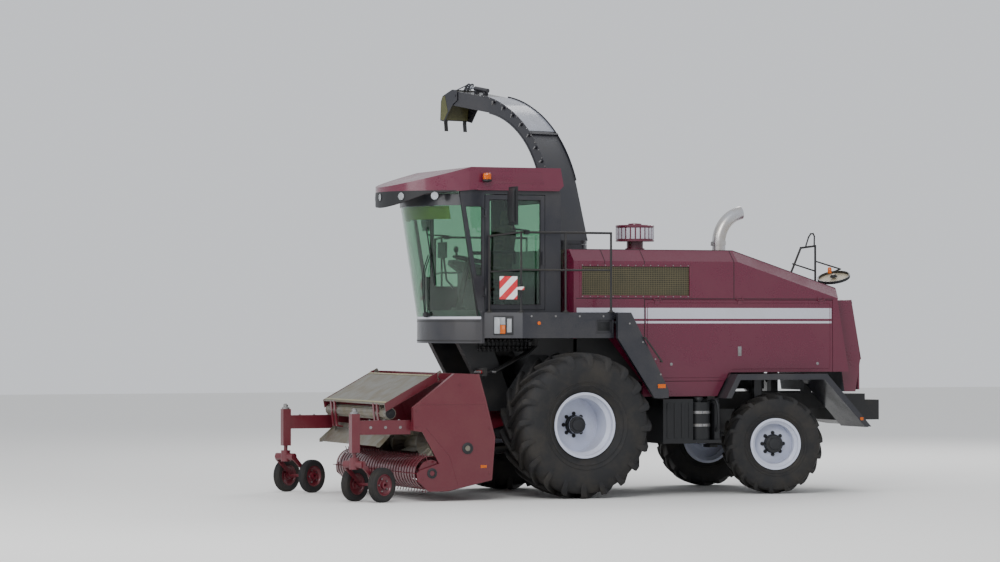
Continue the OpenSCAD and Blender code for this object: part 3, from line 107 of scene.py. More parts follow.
def add_box(bm, x0, x1, y0, y1, z0, z1):
    """A box between two corners."""
    return add_prism(bm, [(x0, z0), (x1, z0), (x1, z1), (x0, z1)], min(y0, y1), max(y0, y1))


# %% Turned forms
def bridge(bm, rings):
    """Lays faces between each ring of vertices and the next one."""
    faces = []
    for near, far in zip(rings, rings[1:]):
        count = len(near)
        for i in range(count):
            j = (i + 1) % count
            faces.append(bm.faces.new((near[i], near[j], far[j], far[i])))
    return faces


def add_turned(bm, profile, axis="Y", centre=(0, 0, 0), steps=48):
    """A form of revolution: radius and offset pairs, closed if the ends are on the axis."""
    rings = []
    for radius, offset in profile:
        ring = []
        for i in range(steps):
            a = 2 * math.pi * i / steps
            p = Vector((radius * math.cos(a), offset, radius * math.sin(a)))
            if axis == "Z":
                p = Vector((p.x, -p.z, p.y))
            if axis == "X":
                p = Vector((p.y, p.x, p.z))
            ring.append(bm.verts.new(p + Vector(centre)))
        rings.append(ring)
    faces = bridge(bm, rings)
    if profile[0] != profile[-1]:
        for ring, radius in ((rings[0][::-1], profile[0][0]), (rings[-1], profile[-1][0])):
            if radius > 1e-6:
                faces.append(bm.faces.new(ring))
    verts = [v for ring in rings for v in ring]
    bmesh.ops.remove_doubles(bm, verts=verts, dist=1e-6)
    faces = [f for f in faces if f.is_valid]
    bmesh.ops.recalc_face_normals(bm, faces=faces)
    return faces


# %% Tubes
def add_tube(bm, points, radius, sides=12, smooth_steps=0):
    """A round tube along points, with its ends closed; smooth_steps rounds the path first."""
    path = [Vector(p) for p in points]
    if smooth_steps:
        path = rounded(path, smooth_steps)
    rings = []
    normal = None
    for i, p in enumerate(path):
        ahead = path[min(i + 1, len(path) - 1)] - path[max(i - 1, 0)]
        ahead.normalize()
        if normal is None:
            normal = ahead.orthogonal().normalized()
        normal = (normal - ahead * normal.dot(ahead)).normalized()
        side = ahead.cross(normal)
        rings.append([bm.verts.new(p + radius * (math.cos(t) * normal + math.sin(t) * side))
                      for t in (2 * math.pi * k / sides for k in range(sides))])
    return [bm.faces.new(rings[0][::-1]), bm.faces.new(rings[-1])] + bridge(bm, rings)


def rounded(path, steps):
    """A smooth path through the points (Catmull-Rom)."""
    ends = [2 * path[0] - path[1]] + path + [2 * path[-1] - path[-2]]
    result = []
    for a, b, c, d in zip(ends, ends[1:], ends[2:], ends[3:]):
        for k in range(steps):
            t = k / steps
            result.append(0.5 * (2 * b + (c - a) * t + (2 * a - 5 * b + 4 * c - d) * t ** 2
                                 + (3 * b - 3 * c + d - a) * t ** 3))
    return result + [path[-1]]


# %% [markdown]
# ### From forms to pieces
#
# Bevelled edges catch light as pressed and cut steel does, so most plates get them from `soften`. What
# stands on both sides of the machine is drawn once and mirrored. `piece` then turns the finished bmesh
# into an object that rides on a body of the machine.

# %% Finishing a mesh
def soften(bm, width, angle=35, segments=2):
    """Bevels the sharp edges."""
    sharp = math.radians(angle)
    edges = [e for e in bm.edges if len(e.link_faces) == 2 and e.calc_face_angle(0) > sharp]
    bmesh.ops.bevel(bm, geom=edges, offset=width, segments=segments, affect="EDGES", profile=0.5,
                    clamp_overlap=True)


def mirrored(bm):
    """Adds the same forms on the machine's other side."""
    twin = bmesh.ops.duplicate(bm, geom=bm.verts[:] + bm.edges[:] + bm.faces[:])["geom"]
    verts = [g for g in twin if isinstance(g, bmesh.types.BMVert)]
    faces = [g for g in twin if isinstance(g, bmesh.types.BMFace)]
    for v in verts:
        v.co.y = -v.co.y
    bmesh.ops.reverse_faces(bm, faces=faces)


def join(target, added):
    """Adds the forms of one bmesh to another."""
    mesh = bpy.data.meshes.new("added")
    added.to_mesh(mesh)
    added.free()
    target.from_mesh(mesh)
    bpy.data.meshes.remove(mesh)


def piece(name, bm, body, material, smooth=35, moved=True):
    """Makes a bmesh an object at the origin, with its place in its mesh, that rides on a body."""
    if moved:
        bmesh.ops.translate(bm, vec=ORIGIN, verts=bm.verts)
    mesh = bpy.data.meshes.new(name)
    bm.to_mesh(mesh)
    bm.free()
    mesh.materials.append(material)
    mesh.shade_smooth()
    mesh.set_sharp_from_angle(angle=math.radians(smooth))
    obj = bpy.data.objects.new(name, mesh)
    bpy.context.scene.collection.objects.link(obj)
    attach(obj, body)
    print(name, "has", len(mesh.polygons), "faces and rides on", body)
    return obj

# %% [markdown]
# ## One Geometry Nodes tree for everything that repeats
#
# Lugs, nuts, rivets, slats and valves are one small shape, copied at even steps. The tree below puts a
# shape on the points of a line and turns each copy a little more than the last. With no step and only
# a turn the copies stand in a ring, and with no turn they stand in a row.

# %% Repeating tree
def repeat_tree():
    """Builds the tree: Piece, Count, Step, Turn and Finish are its named inputs."""
    tree = bpy.data.node_groups.new("repeat", "GeometryNodeTree")
    for label, kind in (("Piece", "Object"), ("Count", "Int"), ("Step", "Vector"), ("Turn", "Vector"),
                        ("Finish", "Material")):
        tree.interface.new_socket(label, in_out="INPUT", socket_type="NodeSocket" + kind)
    tree.interface.new_socket("Geometry", in_out="OUTPUT", socket_type="NodeSocketGeometry")
    inputs = tree.nodes.new("NodeGroupInput")
    line = tree.nodes.new("GeometryNodeMeshLine")
    info = tree.nodes.new("GeometryNodeObjectInfo")
    index = tree.nodes.new("GeometryNodeInputIndex")
    turn = tree.nodes.new("ShaderNodeVectorMath")
    turn.operation = "SCALE"
    place = tree.nodes.new("GeometryNodeInstanceOnPoints")
    real = tree.nodes.new("GeometryNodeRealizeInstances")
    finish = tree.nodes.new("GeometryNodeSetMaterial")
    outputs = tree.nodes.new("NodeGroupOutput")
    for source, target in ((inputs.outputs["Count"], line.inputs["Count"]),
                           (inputs.outputs["Step"], line.inputs["Offset"]),
                           (inputs.outputs["Piece"], info.inputs["Object"]),
                           (inputs.outputs["Turn"], turn.inputs[0]),
                           (index.outputs[0], turn.inputs["Scale"]),
                           (line.outputs[0], place.inputs["Points"]),
                           (info.outputs["Geometry"], place.inputs["Instance"]),
                           (turn.outputs[0], place.inputs["Rotation"]),
                           (place.outputs[0], real.inputs[0]),
                           (real.outputs[0], finish.inputs["Geometry"]),
                           (inputs.outputs["Finish"], finish.inputs["Material"]),
                           (finish.outputs[0], outputs.inputs[0])):
        tree.links.new(source, target)
    return tree


REPEAT = repeat_tree()


def repeated(name, bm, count, body, material, step=(0, 0, 0), turn=(0, 0, 0), place=Matrix(), smooth=35,
             both=False, moved=True):
    """Runs the tree on a small shape and keeps the result as a plain mesh at its place."""
    seed_mesh = bpy.data.meshes.new(name + "_seed")
    bm.to_mesh(seed_mesh)
    bm.free()
    seed = bpy.data.objects.new(name + "_seed", seed_mesh)
    host = bpy.data.objects.new(name + "_host", bpy.data.meshes.new(name + "_host"))
    for obj in (seed, host):
        bpy.context.scene.collection.objects.link(obj)
    modifier = host.modifiers.new("repeat", "NODES")
    modifier.node_group = REPEAT
    values = {"Piece": seed, "Count": count, "Step": Vector(step), "Turn": Vector(turn), "Finish": material}
    for item in REPEAT.interface.items_tree:
        if item.in_out == "INPUT":
            modifier[item.identifier] = values[item.name]
    graph = bpy.context.evaluated_depsgraph_get()
    graph.update()
    result = bpy.data.meshes.new_from_object(host.evaluated_get(graph))
    for obj in (seed, host):
        bpy.data.objects.remove(obj)
    grown = bmesh.new()
    grown.from_mesh(result)
    grown.transform(place)
    if place.determinant() < 0:
        bmesh.ops.reverse_faces(grown, faces=grown.faces)
    bpy.data.meshes.remove(result)
    if both:
        mirrored(grown)
    return piece(name, grown, body, material, smooth, moved)

# %% [markdown]
# ## Paint, rubber and glass from noise and numbers
#
# A material is a small graph of nodes that ends in the Principled shader. Colours are written as the
# hex values that a paint shop would use, and one function turns them into linear light. All patterns
# read Object coordinates, which are metres here, so the scale of a noise is 1000 divided by the size
# of its detail in millimetres.

# %% Material helpers
def linear(code, alpha=1.0):
    """An sRGB hex colour as linear light."""
    values = [int(code[i:i + 2], 16) / 255 for i in (1, 3, 5)]
    return [v / 12.92 if v <= 0.04045 else ((v + 0.055) / 1.055) ** 2.4 for v in values] + [alpha]


def add(tree, kind, values=None, links=None, **settings):
    """Adds one node with its settings, its input values and its incoming links."""
    new = tree.nodes.new(kind)
    for key, value in settings.items():
        setattr(new, key, value)
    for key, value in (values or {}).items():
        new.inputs[key].default_value = value
    for key, source in (links or {}).items():
        tree.links.new(source, new.inputs[key])
    return new


def start(name, **values):
    """A new material: its node tree, its shader and its Object coordinates."""
    material = bpy.data.materials.new(name)
    material.use_nodes = True
    tree = material.node_tree
    shader = tree.nodes["Principled BSDF"]
    for key, value in values.items():
        shader.inputs[key.replace("_", " ")].default_value = value
    where = add(tree, "ShaderNodeTexCoord").outputs["Object"]
    return material, tree, shader, where


def blend(tree, first, second, share):
    """Mixes two colours by the share that a pattern gives."""
    return add(tree, "ShaderNodeMix", {6: first, 7: second}, {0: share}, data_type="RGBA")


def paint(name, colour, dust, rough=0.32, coat=0.5, dust_amount=0.35, grain=0.0006, metallic=0.0):
    """Sprayed paint with a clear coat, and dust that settles on faces that look up.

    The dust lies in patches of about 600 mm with 18 mm flecks, and the orange peel is 2.4 mm.
    """
    material, tree, shader, where = start(name, Coat_Weight=coat, Coat_Roughness=0.12, Metallic=metallic)
    patches = add(tree, "ShaderNodeTexNoise", {"Scale": 1.7, "Detail": 8.0, "Roughness": 0.62},
                  {"Vector": where})
    flecks = add(tree, "ShaderNodeTexNoise", {"Scale": 55.0, "Detail": 4.0, "Roughness": 0.6},
                 {"Vector": where})
    mixed = add(tree, "ShaderNodeMath", {1: 0.45}, {0: flecks.outputs["Fac"], 2: patches.outputs["Fac"]},
                operation="MULTIPLY_ADD")
    surface = add(tree, "ShaderNodeNewGeometry")
    normal = add(tree, "ShaderNodeSeparateXYZ", links={"Vector": surface.outputs["Normal"]})
    settled = add(tree, "ShaderNodeMapRange",
                  {"From Min": 0.2, "From Max": 1.0, "To Min": 0.0, "To Max": 0.22},
                  {"Value": normal.outputs["Z"]})
    total = add(tree, "ShaderNodeMath", links={0: mixed.outputs[0], 1: settled.outputs[0]}, operation="ADD")
    mask = add(tree, "ShaderNodeMapRange",
               {"From Min": 0.66, "From Max": 1.05, "To Min": 0.0, "To Max": dust_amount},
               {"Value": total.outputs[0]})
    mix = blend(tree, linear(colour), linear(dust), mask.outputs[0])
    roughness = add(tree, "ShaderNodeMapRange",
                    {"From Max": max(dust_amount, 0.01), "To Min": rough, "To Max": 0.75},
                    {"Value": mask.outputs[0]})
    peel = add(tree, "ShaderNodeTexNoise", {"Scale": 420.0, "Detail": 2.0}, {"Vector": where})
    bump = add(tree, "ShaderNodeBump", {"Strength": 0.35, "Distance": grain}, {"Height": peel.outputs["Fac"]})
    tree.links.new(mix.outputs[2], shader.inputs["Base Color"])
    tree.links.new(roughness.outputs[0], shader.inputs["Roughness"])
    tree.links.new(bump.outputs[0], shader.inputs["Normal"])
    return material

# %% [markdown]
# ### The machine's paints
#
# The hood and the roof are a two-coat burgundy with a deep gloss. The header wears a duller red that
# crop and soil have scoured. Cab, platform and spout are a blue-black, and the wheel discs a cold pale
# grey. Field dust is pale tan: it shows most on faces that look up.

# %% Paints
BURGUNDY = paint("burgundy_clear_coat", "#5c0a2c", "#7c5a58", rough=0.27, coat=0.45, dust_amount=0.08)
HEADER_RED = paint("header_red_enamel", "#5a0c1e", "#7d5a50", rough=0.34, coat=0.4, dust_amount=0.16)
DARK = paint("blue_black_enamel", "#181922", "#7d766c", rough=0.34, coat=0.4, dust_amount=0.14)
FRAME = paint("chassis_black_enamel", "#121215", "#6b6150", rough=0.5, coat=0.1, dust_amount=0.2)
RIM = paint("rim_grey_enamel", "#c7ccde", "#8c8069", rough=0.4, coat=0.3, dust_amount=0.35)
PALE = paint("silver_grey_enamel", "#bfc0ca", "#8c8374", rough=0.35, coat=0.4, dust_amount=0.2)
STAINED = paint("crop_stained_enamel", "#4e4f2c", "#8f8a55", rough=0.55, coat=0.1, dust_amount=0.7)

# %% [markdown]
# ### Rubber
#
# Tyre rubber is black and dull, with a fine moulded grain. Dry soil clings to it and turns it brown
# in patches. Hoses are smoother and shine a little.

# %% Rubber
def rubber(name, colour, soil, rough, soil_amount, grain):
    """Moulded rubber with a grit of 4 mm and dry soil in clouds of about 330 mm."""
    material, tree, shader, where = start(name)
    clouds = add(tree, "ShaderNodeTexNoise", {"Scale": 3.0, "Detail": 9.0, "Roughness": 0.68},
                 {"Vector": where})
    mask = add(tree, "ShaderNodeMapRange", {"From Min": 0.42, "From Max": 0.72, "To Max": soil_amount},
               {"Value": clouds.outputs["Fac"]})
    mix = blend(tree, linear(colour), linear(soil), mask.outputs[0])
    grit = add(tree, "ShaderNodeTexNoise", {"Scale": 260.0, "Detail": 5.0}, {"Vector": where})
    bump = add(tree, "ShaderNodeBump", {"Strength": 0.5, "Distance": grain}, {"Height": grit.outputs["Fac"]})
    tree.links.new(mix.outputs[2], shader.inputs["Base Color"])
    tree.links.new(bump.outputs[0], shader.inputs["Normal"])
    shader.inputs["Roughness"].default_value = rough
    return material


TYRE = rubber("tyre_rubber", "#19191b", "#4b4336", 0.75, 0.35, 0.002)
HOSE = rubber("hydraulic_hose_rubber", "#141416", "#4a4338", 0.38, 0.2, 0.0004)
# The same dark rubber also serves as painted shade in the wheel houses.
SEAL_AND_SHADE = rubber("seal_rubber_and_painted_shade", "#101012", "#3a352c", 0.6, 0.15, 0.0004)

# %% [markdown]
# ### Metal and moulded plastic
#
# Rods are hard chrome, the exhaust is bright steel with straw-coloured heat marks, and the crop has
# scoured the auger and the wind guard to bare steel under a film of dust. Lenses are clear plastic
# with a little depth, so their colour glows.

# %% Metals and plastics
def metal(name, colour, stain, rough, stain_amount, scale):
    """Bare metal with stains and scratches of about 11 mm."""
    material, tree, shader, where = start(name, Metallic=1.0)
    clouds = add(tree, "ShaderNodeTexNoise", {"Scale": scale, "Detail": 8.0, "Roughness": 0.6},
                 {"Vector": where})
    mask = add(tree, "ShaderNodeMapRange", {"From Min": 0.4, "From Max": 0.75, "To Max": stain_amount},
               {"Value": clouds.outputs["Fac"]})
    mix = blend(tree, linear(colour), linear(stain), mask.outputs[0])
    scratches = add(tree, "ShaderNodeTexNoise", {"Scale": 90.0, "Detail": 6.0, "Distortion": 0.6},
                    {"Vector": where})
    roughness = add(tree, "ShaderNodeMapRange", {"To Min": rough, "To Max": min(rough + 0.3, 1.0)},
                    {"Value": scratches.outputs["Fac"]})
    tree.links.new(mix.outputs[2], shader.inputs["Base Color"])
    tree.links.new(roughness.outputs[0], shader.inputs["Roughness"])
    return material


def plastic(name, colour, rough, transmission=0.0, grain=0.0003, ior=1.46):
    """Moulded plastic with a grain of 2 mm and a tint that drifts over about 80 mm."""
    material, tree, shader, where = start(name, Roughness=rough, Transmission_Weight=transmission, IOR=ior)
    shade = add(tree, "ShaderNodeTexNoise", {"Scale": 12.0, "Detail": 6.0}, {"Vector": where})
    darker = [0.82 * v for v in linear(colour)[:3]] + [1]
    tint = blend(tree, linear(colour), darker, shade.outputs["Fac"])
    grit = add(tree, "ShaderNodeTexNoise", {"Scale": 500.0, "Detail": 3.0}, {"Vector": where})
    bump = add(tree, "ShaderNodeBump", {"Strength": 0.25, "Distance": grain}, {"Height": grit.outputs["Fac"]})
    tree.links.new(tint.outputs[2], shader.inputs["Base Color"])
    tree.links.new(bump.outputs[0], shader.inputs["Normal"])
    return material


CHROME = metal("hard_chrome", "#c9ccd2", "#8d8a84", 0.12, 0.2, 9.0)
EXHAUST = metal("bright_exhaust_steel", "#c3c4c8", "#b09a6c", 0.2, 0.55, 4.0)
SCOURED = metal("scoured_steel", "#8d8b84", "#7a6c4e", 0.38, 0.8, 5.0)
BOLT = metal("zinc_plated_steel", "#9a9a9c", "#6f6551", 0.35, 0.6, 30.0)
IRON = plastic("grey_cast_iron", "#242528", 0.6, grain=0.0006)
BLACK = plastic("black_moulded_plastic", "#17181b", 0.5)
GREY = plastic("grey_moulded_plastic", "#6e7076", 0.5)
ORANGE = plastic("orange_lens", "#f2760c", 0.12, 0.35, 0.0001)
CLEAR = plastic("clear_lens", "#e9edf2", 0.08, 0.6, 0.0001)
RED_LENS = plastic("red_lens", "#b5121c", 0.12, 0.3, 0.0001)
DUSTY = paint("dusty_galvanised_plate", "#8b8770", "#b0a684", rough=0.5, coat=0.0, dust_amount=0.6,
              metallic=0.3)
# An even beige that stands for what the mirrors reflect: a painted reflection.
MIRROR_REFLECTION_TAN = plastic("beige_painted_mirror_reflection", "#b3a890", 0.6)

# %% [markdown]
# ### Tinted glass
#
# The cab's safety glass is 8 mm thick and tinted green against the sun. A transmitting shader with
# glass's IOR of 1.5 bends little in such a thin pane, and its colour gives the tint. Wiping has left
# smears of about 450 mm that blur it a little.

# %% Glass
GLASS, glass_tree, glass_shader, glass_where = start(
    "green_safety_glass", Base_Color=linear("#a5cbb4"), Roughness=0.02, Transmission_Weight=1.0, IOR=1.5)
smears = add(glass_tree, "ShaderNodeTexNoise", {"Scale": 2.2, "Detail": 7.0, "Roughness": 0.7},
             {"Vector": glass_where})
haze = add(glass_tree, "ShaderNodeMapRange",
           {"From Min": 0.5, "From Max": 0.8, "To Min": 0.01, "To Max": 0.16},
           {"Value": smears.outputs["Fac"]})
glass_tree.links.new(haze.outputs[0], glass_shader.inputs["Roughness"])

# %% [markdown]
# ### Stripes, mesh and cloth
#
# Warning boards carry slanting red and white bands of 70 mm. The intake screens are woven wire; its
# real pitch of 6 mm is too fine to show, so it is drawn at 24 mm. The seat cloth's weave is drawn at
# 8 mm for the same reason.

# %% Patterns
def banded(name, first, second, pitch, slope):
    """Two colours in slanting bands on a plate that faces along X or Y."""
    material, tree, shader, where = start(name, Roughness=0.3, Coat_Weight=0.4)
    split = add(tree, "ShaderNodeSeparateXYZ", links={"Vector": where})
    sideways = add(tree, "ShaderNodeMath", links={0: split.outputs["X"], 1: split.outputs["Y"]},
                   operation="ADD")
    slanted = add(tree, "ShaderNodeMath", {1: slope}, {0: sideways.outputs[0], 2: split.outputs["Z"]},
                  operation="MULTIPLY_ADD")
    wave = add(tree, "ShaderNodeMath", {1: pitch}, {0: slanted.outputs[0]}, operation="PINGPONG")
    edge = add(tree, "ShaderNodeMath", {1: pitch / 2}, {0: wave.outputs[0]}, operation="GREATER_THAN")
    wear = add(tree, "ShaderNodeTexNoise", {"Scale": 40.0, "Detail": 6.0}, {"Vector": where})
    mix = blend(tree, linear(first), linear(second), edge.outputs[0])
    dull = add(tree, "ShaderNodeMapRange", {"From Min": 0.55, "From Max": 0.8, "To Max": 0.4},
               {"Value": wear.outputs["Fac"]})
    aged = add(tree, "ShaderNodeMix", {7: linear("#9a8f80")}, {0: dull.outputs[0], 6: mix.outputs[2]},
               data_type="RGBA")
    tree.links.new(aged.outputs[2], shader.inputs["Base Color"])
    return material


def woven(name, thread, gap, pitch, rough, metallic=0.0):
    """Crossing threads: a Voronoi pattern with no randomness makes a raised square grid."""
    material, tree, shader, where = start(name, Roughness=rough, Metallic=metallic)
    grid = add(tree, "ShaderNodeTexVoronoi", {"Scale": 1 / pitch, "Randomness": 0.0}, {"Vector": where},
               distance="CHEBYCHEV")
    hole = add(tree, "ShaderNodeMapRange", {"From Min": 0.28, "From Max": 0.38, "To Min": 1.0, "To Max": 0.0},
               {"Value": grid.outputs["Distance"]})
    clouds = add(tree, "ShaderNodeTexNoise", {"Scale": 5.0, "Detail": 7.0}, {"Vector": where})
    dusty = blend(tree, linear(thread), linear("#6b6244"), clouds.outputs["Fac"])
    mix = add(tree, "ShaderNodeMix", {7: linear(gap)}, {0: hole.outputs[0], 6: dusty.outputs[2]},
              data_type="RGBA")
    bump = add(tree, "ShaderNodeBump", {"Strength": 0.6, "Distance": pitch * 0.15},
               {"Height": grid.outputs["Distance"]})
    tree.links.new(mix.outputs[2], shader.inputs["Base Color"])
    tree.links.new(bump.outputs[0], shader.inputs["Normal"])
    return material


BOARD = banded("striped_reflective_sheet", "#c81d2a", "#e9e6e6", 0.1, 1.0)
MESH = woven("woven_wire_screen", "#4d4a38", "#15140f", 0.024, 0.6, 0.2)
CLOTH = woven("woven_seat_cloth", "#2c2d33", "#18191d", 0.008, 0.9)

# %% [markdown]
# ### A finish for each slot
#
# The record of the part says which slot each solid fills, so one table turns slots into materials and
# one loop paints all solids. Shading is smooth, apart from edges sharper than 30 degrees.

# %% Paint the solids
# The mirror faces get the even beige of a painted reflection.
FINISH = {"frame_paint": FRAME, "dark_paint": DARK, "burgundy": BURGUNDY, "header_red": HEADER_RED,
          "rim_grey": RIM, "tyre": TYRE, "glass": GLASS, "steel_worn": SCOURED, "cast_grey": IRON,
          "chrome": CHROME, "exhaust_steel": EXHAUST, "screen_mesh": MESH, "grille_grey": GREY,
          "black_plastic": BLACK, "lamp_lens": ORANGE, "board": BOARD, "seat_fabric": CLOTH,
          "mirror_face": MIRROR_REFLECTION_TAN, "hose": HOSE}
for subpart in frame["record"]["subparts"]:
    solid = frame["nodes"][subpart["node"]]
    solid.data.materials.clear()
    solid.data.materials.append(FINISH[subpart["material_slot"]])
    solid.data.shade_smooth()
    solid.data.set_sharp_from_angle(angle=math.radians(30))
print("painted", len(frame["nodes"]), "solids")

# %% [markdown]
# ## Tyres and wheels
#
# The solids carry plain lugs. A picture needs the tyre that the eye knows: a sidewall that bulges over
# the rim, rings from the mould, and bars with soft edges that lean back from the middle and run down
# over the shoulder. One pair of bars is drawn and the tree sets it round the tyre.

# %% Carcass
def tyre_profile(r, w, seat, rim_half, lug):
    """Half of the carcass section as radius and offset, from the bead out to the middle of the tread."""
    depth = r - seat
    ribs = []
    for share in (0.20, 0.30):
        for step, lift in ((-0.012, 0.0), (-0.006, 0.004), (0.006, 0.004), (0.012, 0.0)):
            ribs.append((seat + (share + step) * depth, (0.425 + 0.17 * share) * w + lift))
    return [(seat, 0.80 * rim_half), (seat - 0.002, 0.94 * rim_half), (seat + 0.03 * depth, 0.985 * rim_half),
            (seat + 0.10 * depth, 1.03 * rim_half)] + ribs + [
        (seat + 0.45 * depth, 0.497 * w), (seat + 0.58 * depth, 0.5 * w), (seat + 0.70 * depth, 0.487 * w),
        (seat + 0.80 * depth, 0.455 * w), (r - lug - 0.022, 0.42 * w), (r - lug - 0.006, 0.33 * w),
        (r - lug, 0.12 * w), (r - lug + 0.002, 0)]


def add_carcass(bm, r, w, seat, rim_half, lug, steps):
    """A hollow tyre: the outside from bead to bead, then back through the inside."""
    half = tyre_profile(r, w, seat, rim_half, lug)
    outside = half + [(a, -b) for a, b in half[-2::-1]]
    inside = [(seat, -0.7 * rim_half), (seat + 0.2 * (r - seat), -0.42 * w), (r - lug - 0.05, -0.36 * w),
              (r - lug - 0.05, 0.36 * w), (seat + 0.2 * (r - seat), 0.42 * w), (seat, 0.7 * rim_half)]
    profile = outside + inside
    add_turned(bm, profile + profile[:1], steps=steps)


# %% Lugs
def add_lug(bm, r, w, lug, side, start_angle, width):
    """One bar of the tread: stations from the middle to the shoulder, each a section of four points."""
    base = r - lug - 0.012
    stations = [(-0.03 * w, base, r, 0.0, 0.50), (0.14 * w, base, r, 0.125, 0.5),
                (0.30 * w, base - 0.004, r - 0.003, 0.235, 0.52),
                (0.43 * w, base - 0.03, r - 0.014, 0.305, 0.6),
                (0.475 * w, base - 0.08, r - 0.055, 0.325, 0.62),
                (0.497 * w, base - 0.13, r - 0.115, 0.335, 0.5)]
    rings = []
    for y, low, high, back, wide in stations:
        ring = []
        for radius, across in ((low, -wide * 1.18), (low, wide * 1.18), (high, wide), (high, -wide)):
            a = start_angle + (back * w * 1.35 + across * width) / r
            ring.append(bm.verts.new((radius * math.cos(a), side * y, radius * math.sin(a))))
        rings.append(ring)
    faces = [bm.faces.new(rings[0]), bm.faces.new(rings[-1][::-1])] + bridge(bm, rings)
    bmesh.ops.recalc_face_normals(bm, faces=faces)


# %% Tyres
def middle(node):
    """The middle of a solid's box."""
    low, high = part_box(node)
    return (Vector(low) + Vector(high)) / 2


def tyre(name, node, body, r, w, rim_r, rim_half, lug, count, turn):
    """A whole tyre at the place of a solid, which it stands in for."""
    place = Matrix.Translation(middle(node)) @ Matrix.Rotation(turn, 4, "Z")
    carcass = bmesh.new()
    add_carcass(carcass, r, w, rim_r - 0.017, rim_half, lug, 96)
    carcass.transform(place)
    shell = piece(name, carcass, body, TYRE, moved=False)
    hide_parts(node)
    bars = bmesh.new()
    bar_width = 0.062 * r / 0.9
    add_lug(bars, r, w, lug, 1, 0, bar_width)
    add_lug(bars, r, w, lug, -1, math.pi / count, bar_width)
    soften(bars, 0.006, 30, 1)
    repeated(name + "_lugs", bars, count, body, TYRE, turn=(0, -2 * math.pi / count, 0), place=place,
             moved=False)


STEER_TURN = math.radians(-12)
DRIVE_TYRE = {"r": 0.9, "w": 0.76, "rim_r": 0.405, "rim_half": 0.286, "lug": 0.052, "count": 20}
STEER_TYRE = {"r": 0.63, "w": 0.43, "rim_r": 0.325, "rim_half": 0.176, "lug": 0.036, "count": 18}
for side in ("left", "right"):
    tyre("drive_tread_" + side, "drive_tyre_" + side, "drive_wheel_" + side, turn=0, **DRIVE_TYRE)
    tyre("steer_tread_" + side, "steer_tyre_" + side, "steer_wheel_" + side, turn=STEER_TURN, **STEER_TYRE)

# %% [markdown]
# ### Nuts, hubs and the header's small wheels
#
# Eight nuts hold each pale disc to a dark hub. A nut here is a washer, a hexagon with a rounded top and
# the end of its stud. The header runs on pairs of small tyres with ribbed treads and red discs.

# %% Nuts and hubs
def add_nut(bm, at, across=0.034):
    """A nut on its washer and stud, facing +Y."""
    add_turned(bm, [(0, -0.004), (across * 0.72, -0.004), (across * 0.72, 0.004), (0, 0.004)], centre=at,
               steps=20)
    add_turned(bm, [(0, 0.003), (across * 0.58, 0.003), (across * 0.58, 0.022), (across * 0.5, 0.026),
                    (0, 0.026)], centre=at, steps=6)
    add_turned(bm, [(0, 0.02), (across * 0.27, 0.02), (across * 0.27, 0.036), (across * 0.2, 0.04),
                    (0, 0.04)], centre=at, steps=12)


BOLT_CIRCLE = 0.1375


def wheel_details(name, node, body, disc_y, hub_y, side, turn):
    """Nuts and a stepped hub with six bolts on one rim; the offsets are from the rim's middle."""
    turned = Matrix.Rotation(turn, 4, "Z") @ Matrix.Diagonal((1, side, 1, 1))
    place = Matrix.Translation(middle(node)) @ turned
    nuts = bmesh.new()
    add_nut(nuts, (BOLT_CIRCLE, disc_y, 0))
    repeated(name + "_nuts", nuts, 8, body, BLACK, turn=(0, math.pi / 4, 0), place=place,
             moved=False)
    hub = bmesh.new()
    ring = [(0.1105, disc_y + 0.002), (0.12, disc_y + 0.008), (0.12, disc_y + 0.022),
            (0.1125, disc_y + 0.028)]
    cap = [(0.1125, hub_y - 0.006), (0.106, hub_y + 0.004), (0.075, hub_y + 0.01), (0.07, hub_y + 0.022),
           (0.032, hub_y + 0.03), (0, hub_y + 0.03)]
    add_turned(hub, ring + cap, steps=64)
    for k in range(6):
        a = math.pi * k / 3
        spot = (0.09 * math.cos(a), hub_y + 0.006, 0.09 * math.sin(a))
        add_turned(hub, [(0, -0.003), (0.009, -0.003), (0.009, 0.008), (0, 0.008)], centre=spot, steps=6)
    hub.transform(place)
    bmesh.ops.recalc_face_normals(hub, faces=hub.faces)
    piece(name + "_hub", hub, body, IRON, moved=False)


for side, sign in (("left", 1), ("right", -1)):
    wheel_details("drive_" + side, "drive_rim_" + side, "drive_wheel_" + side, -0.056, 0.06, sign, 0)
    wheel_details("steer_" + side, "steer_rim_" + side, "steer_wheel_" + side, 0.034, 0.12, sign, STEER_TURN)

# %% Casters
CASTER_PIVOT = (2.93, 1.3)
CASTER_TURN = math.radians(28)
CASTER_RADIUS = 0.21
CASTER_TRAIL = 0.25
TWIN_HALF = 0.22
SMALL_TYRE = [(0.128, 0.034), (0.134, 0.043), (0.15, 0.049), (0.178, 0.0505), (0.196, 0.046), (0.2, 0.040),
              (0.2075, 0.038), (0.2085, 0.030), (0.204, 0.028), (0.204, 0.022), (CASTER_RADIUS, 0.020),
              (CASTER_RADIUS, 0.006), (0.205, 0.004)]
SMALL_DISC = [(0.128, 0.036), (0.131, 0.042), (0.124, 0.044), (0.118, 0.030), (0.104, 0.018), (0.06, 0.013),
              (0.05, 0.02), (0.046, 0.05), (0.02, 0.053)]


def both_sides(half):
    """A whole section from its half: the same radii with the offsets turned round."""
    return half + [(radius, -offset) for radius, offset in half[::-1]]


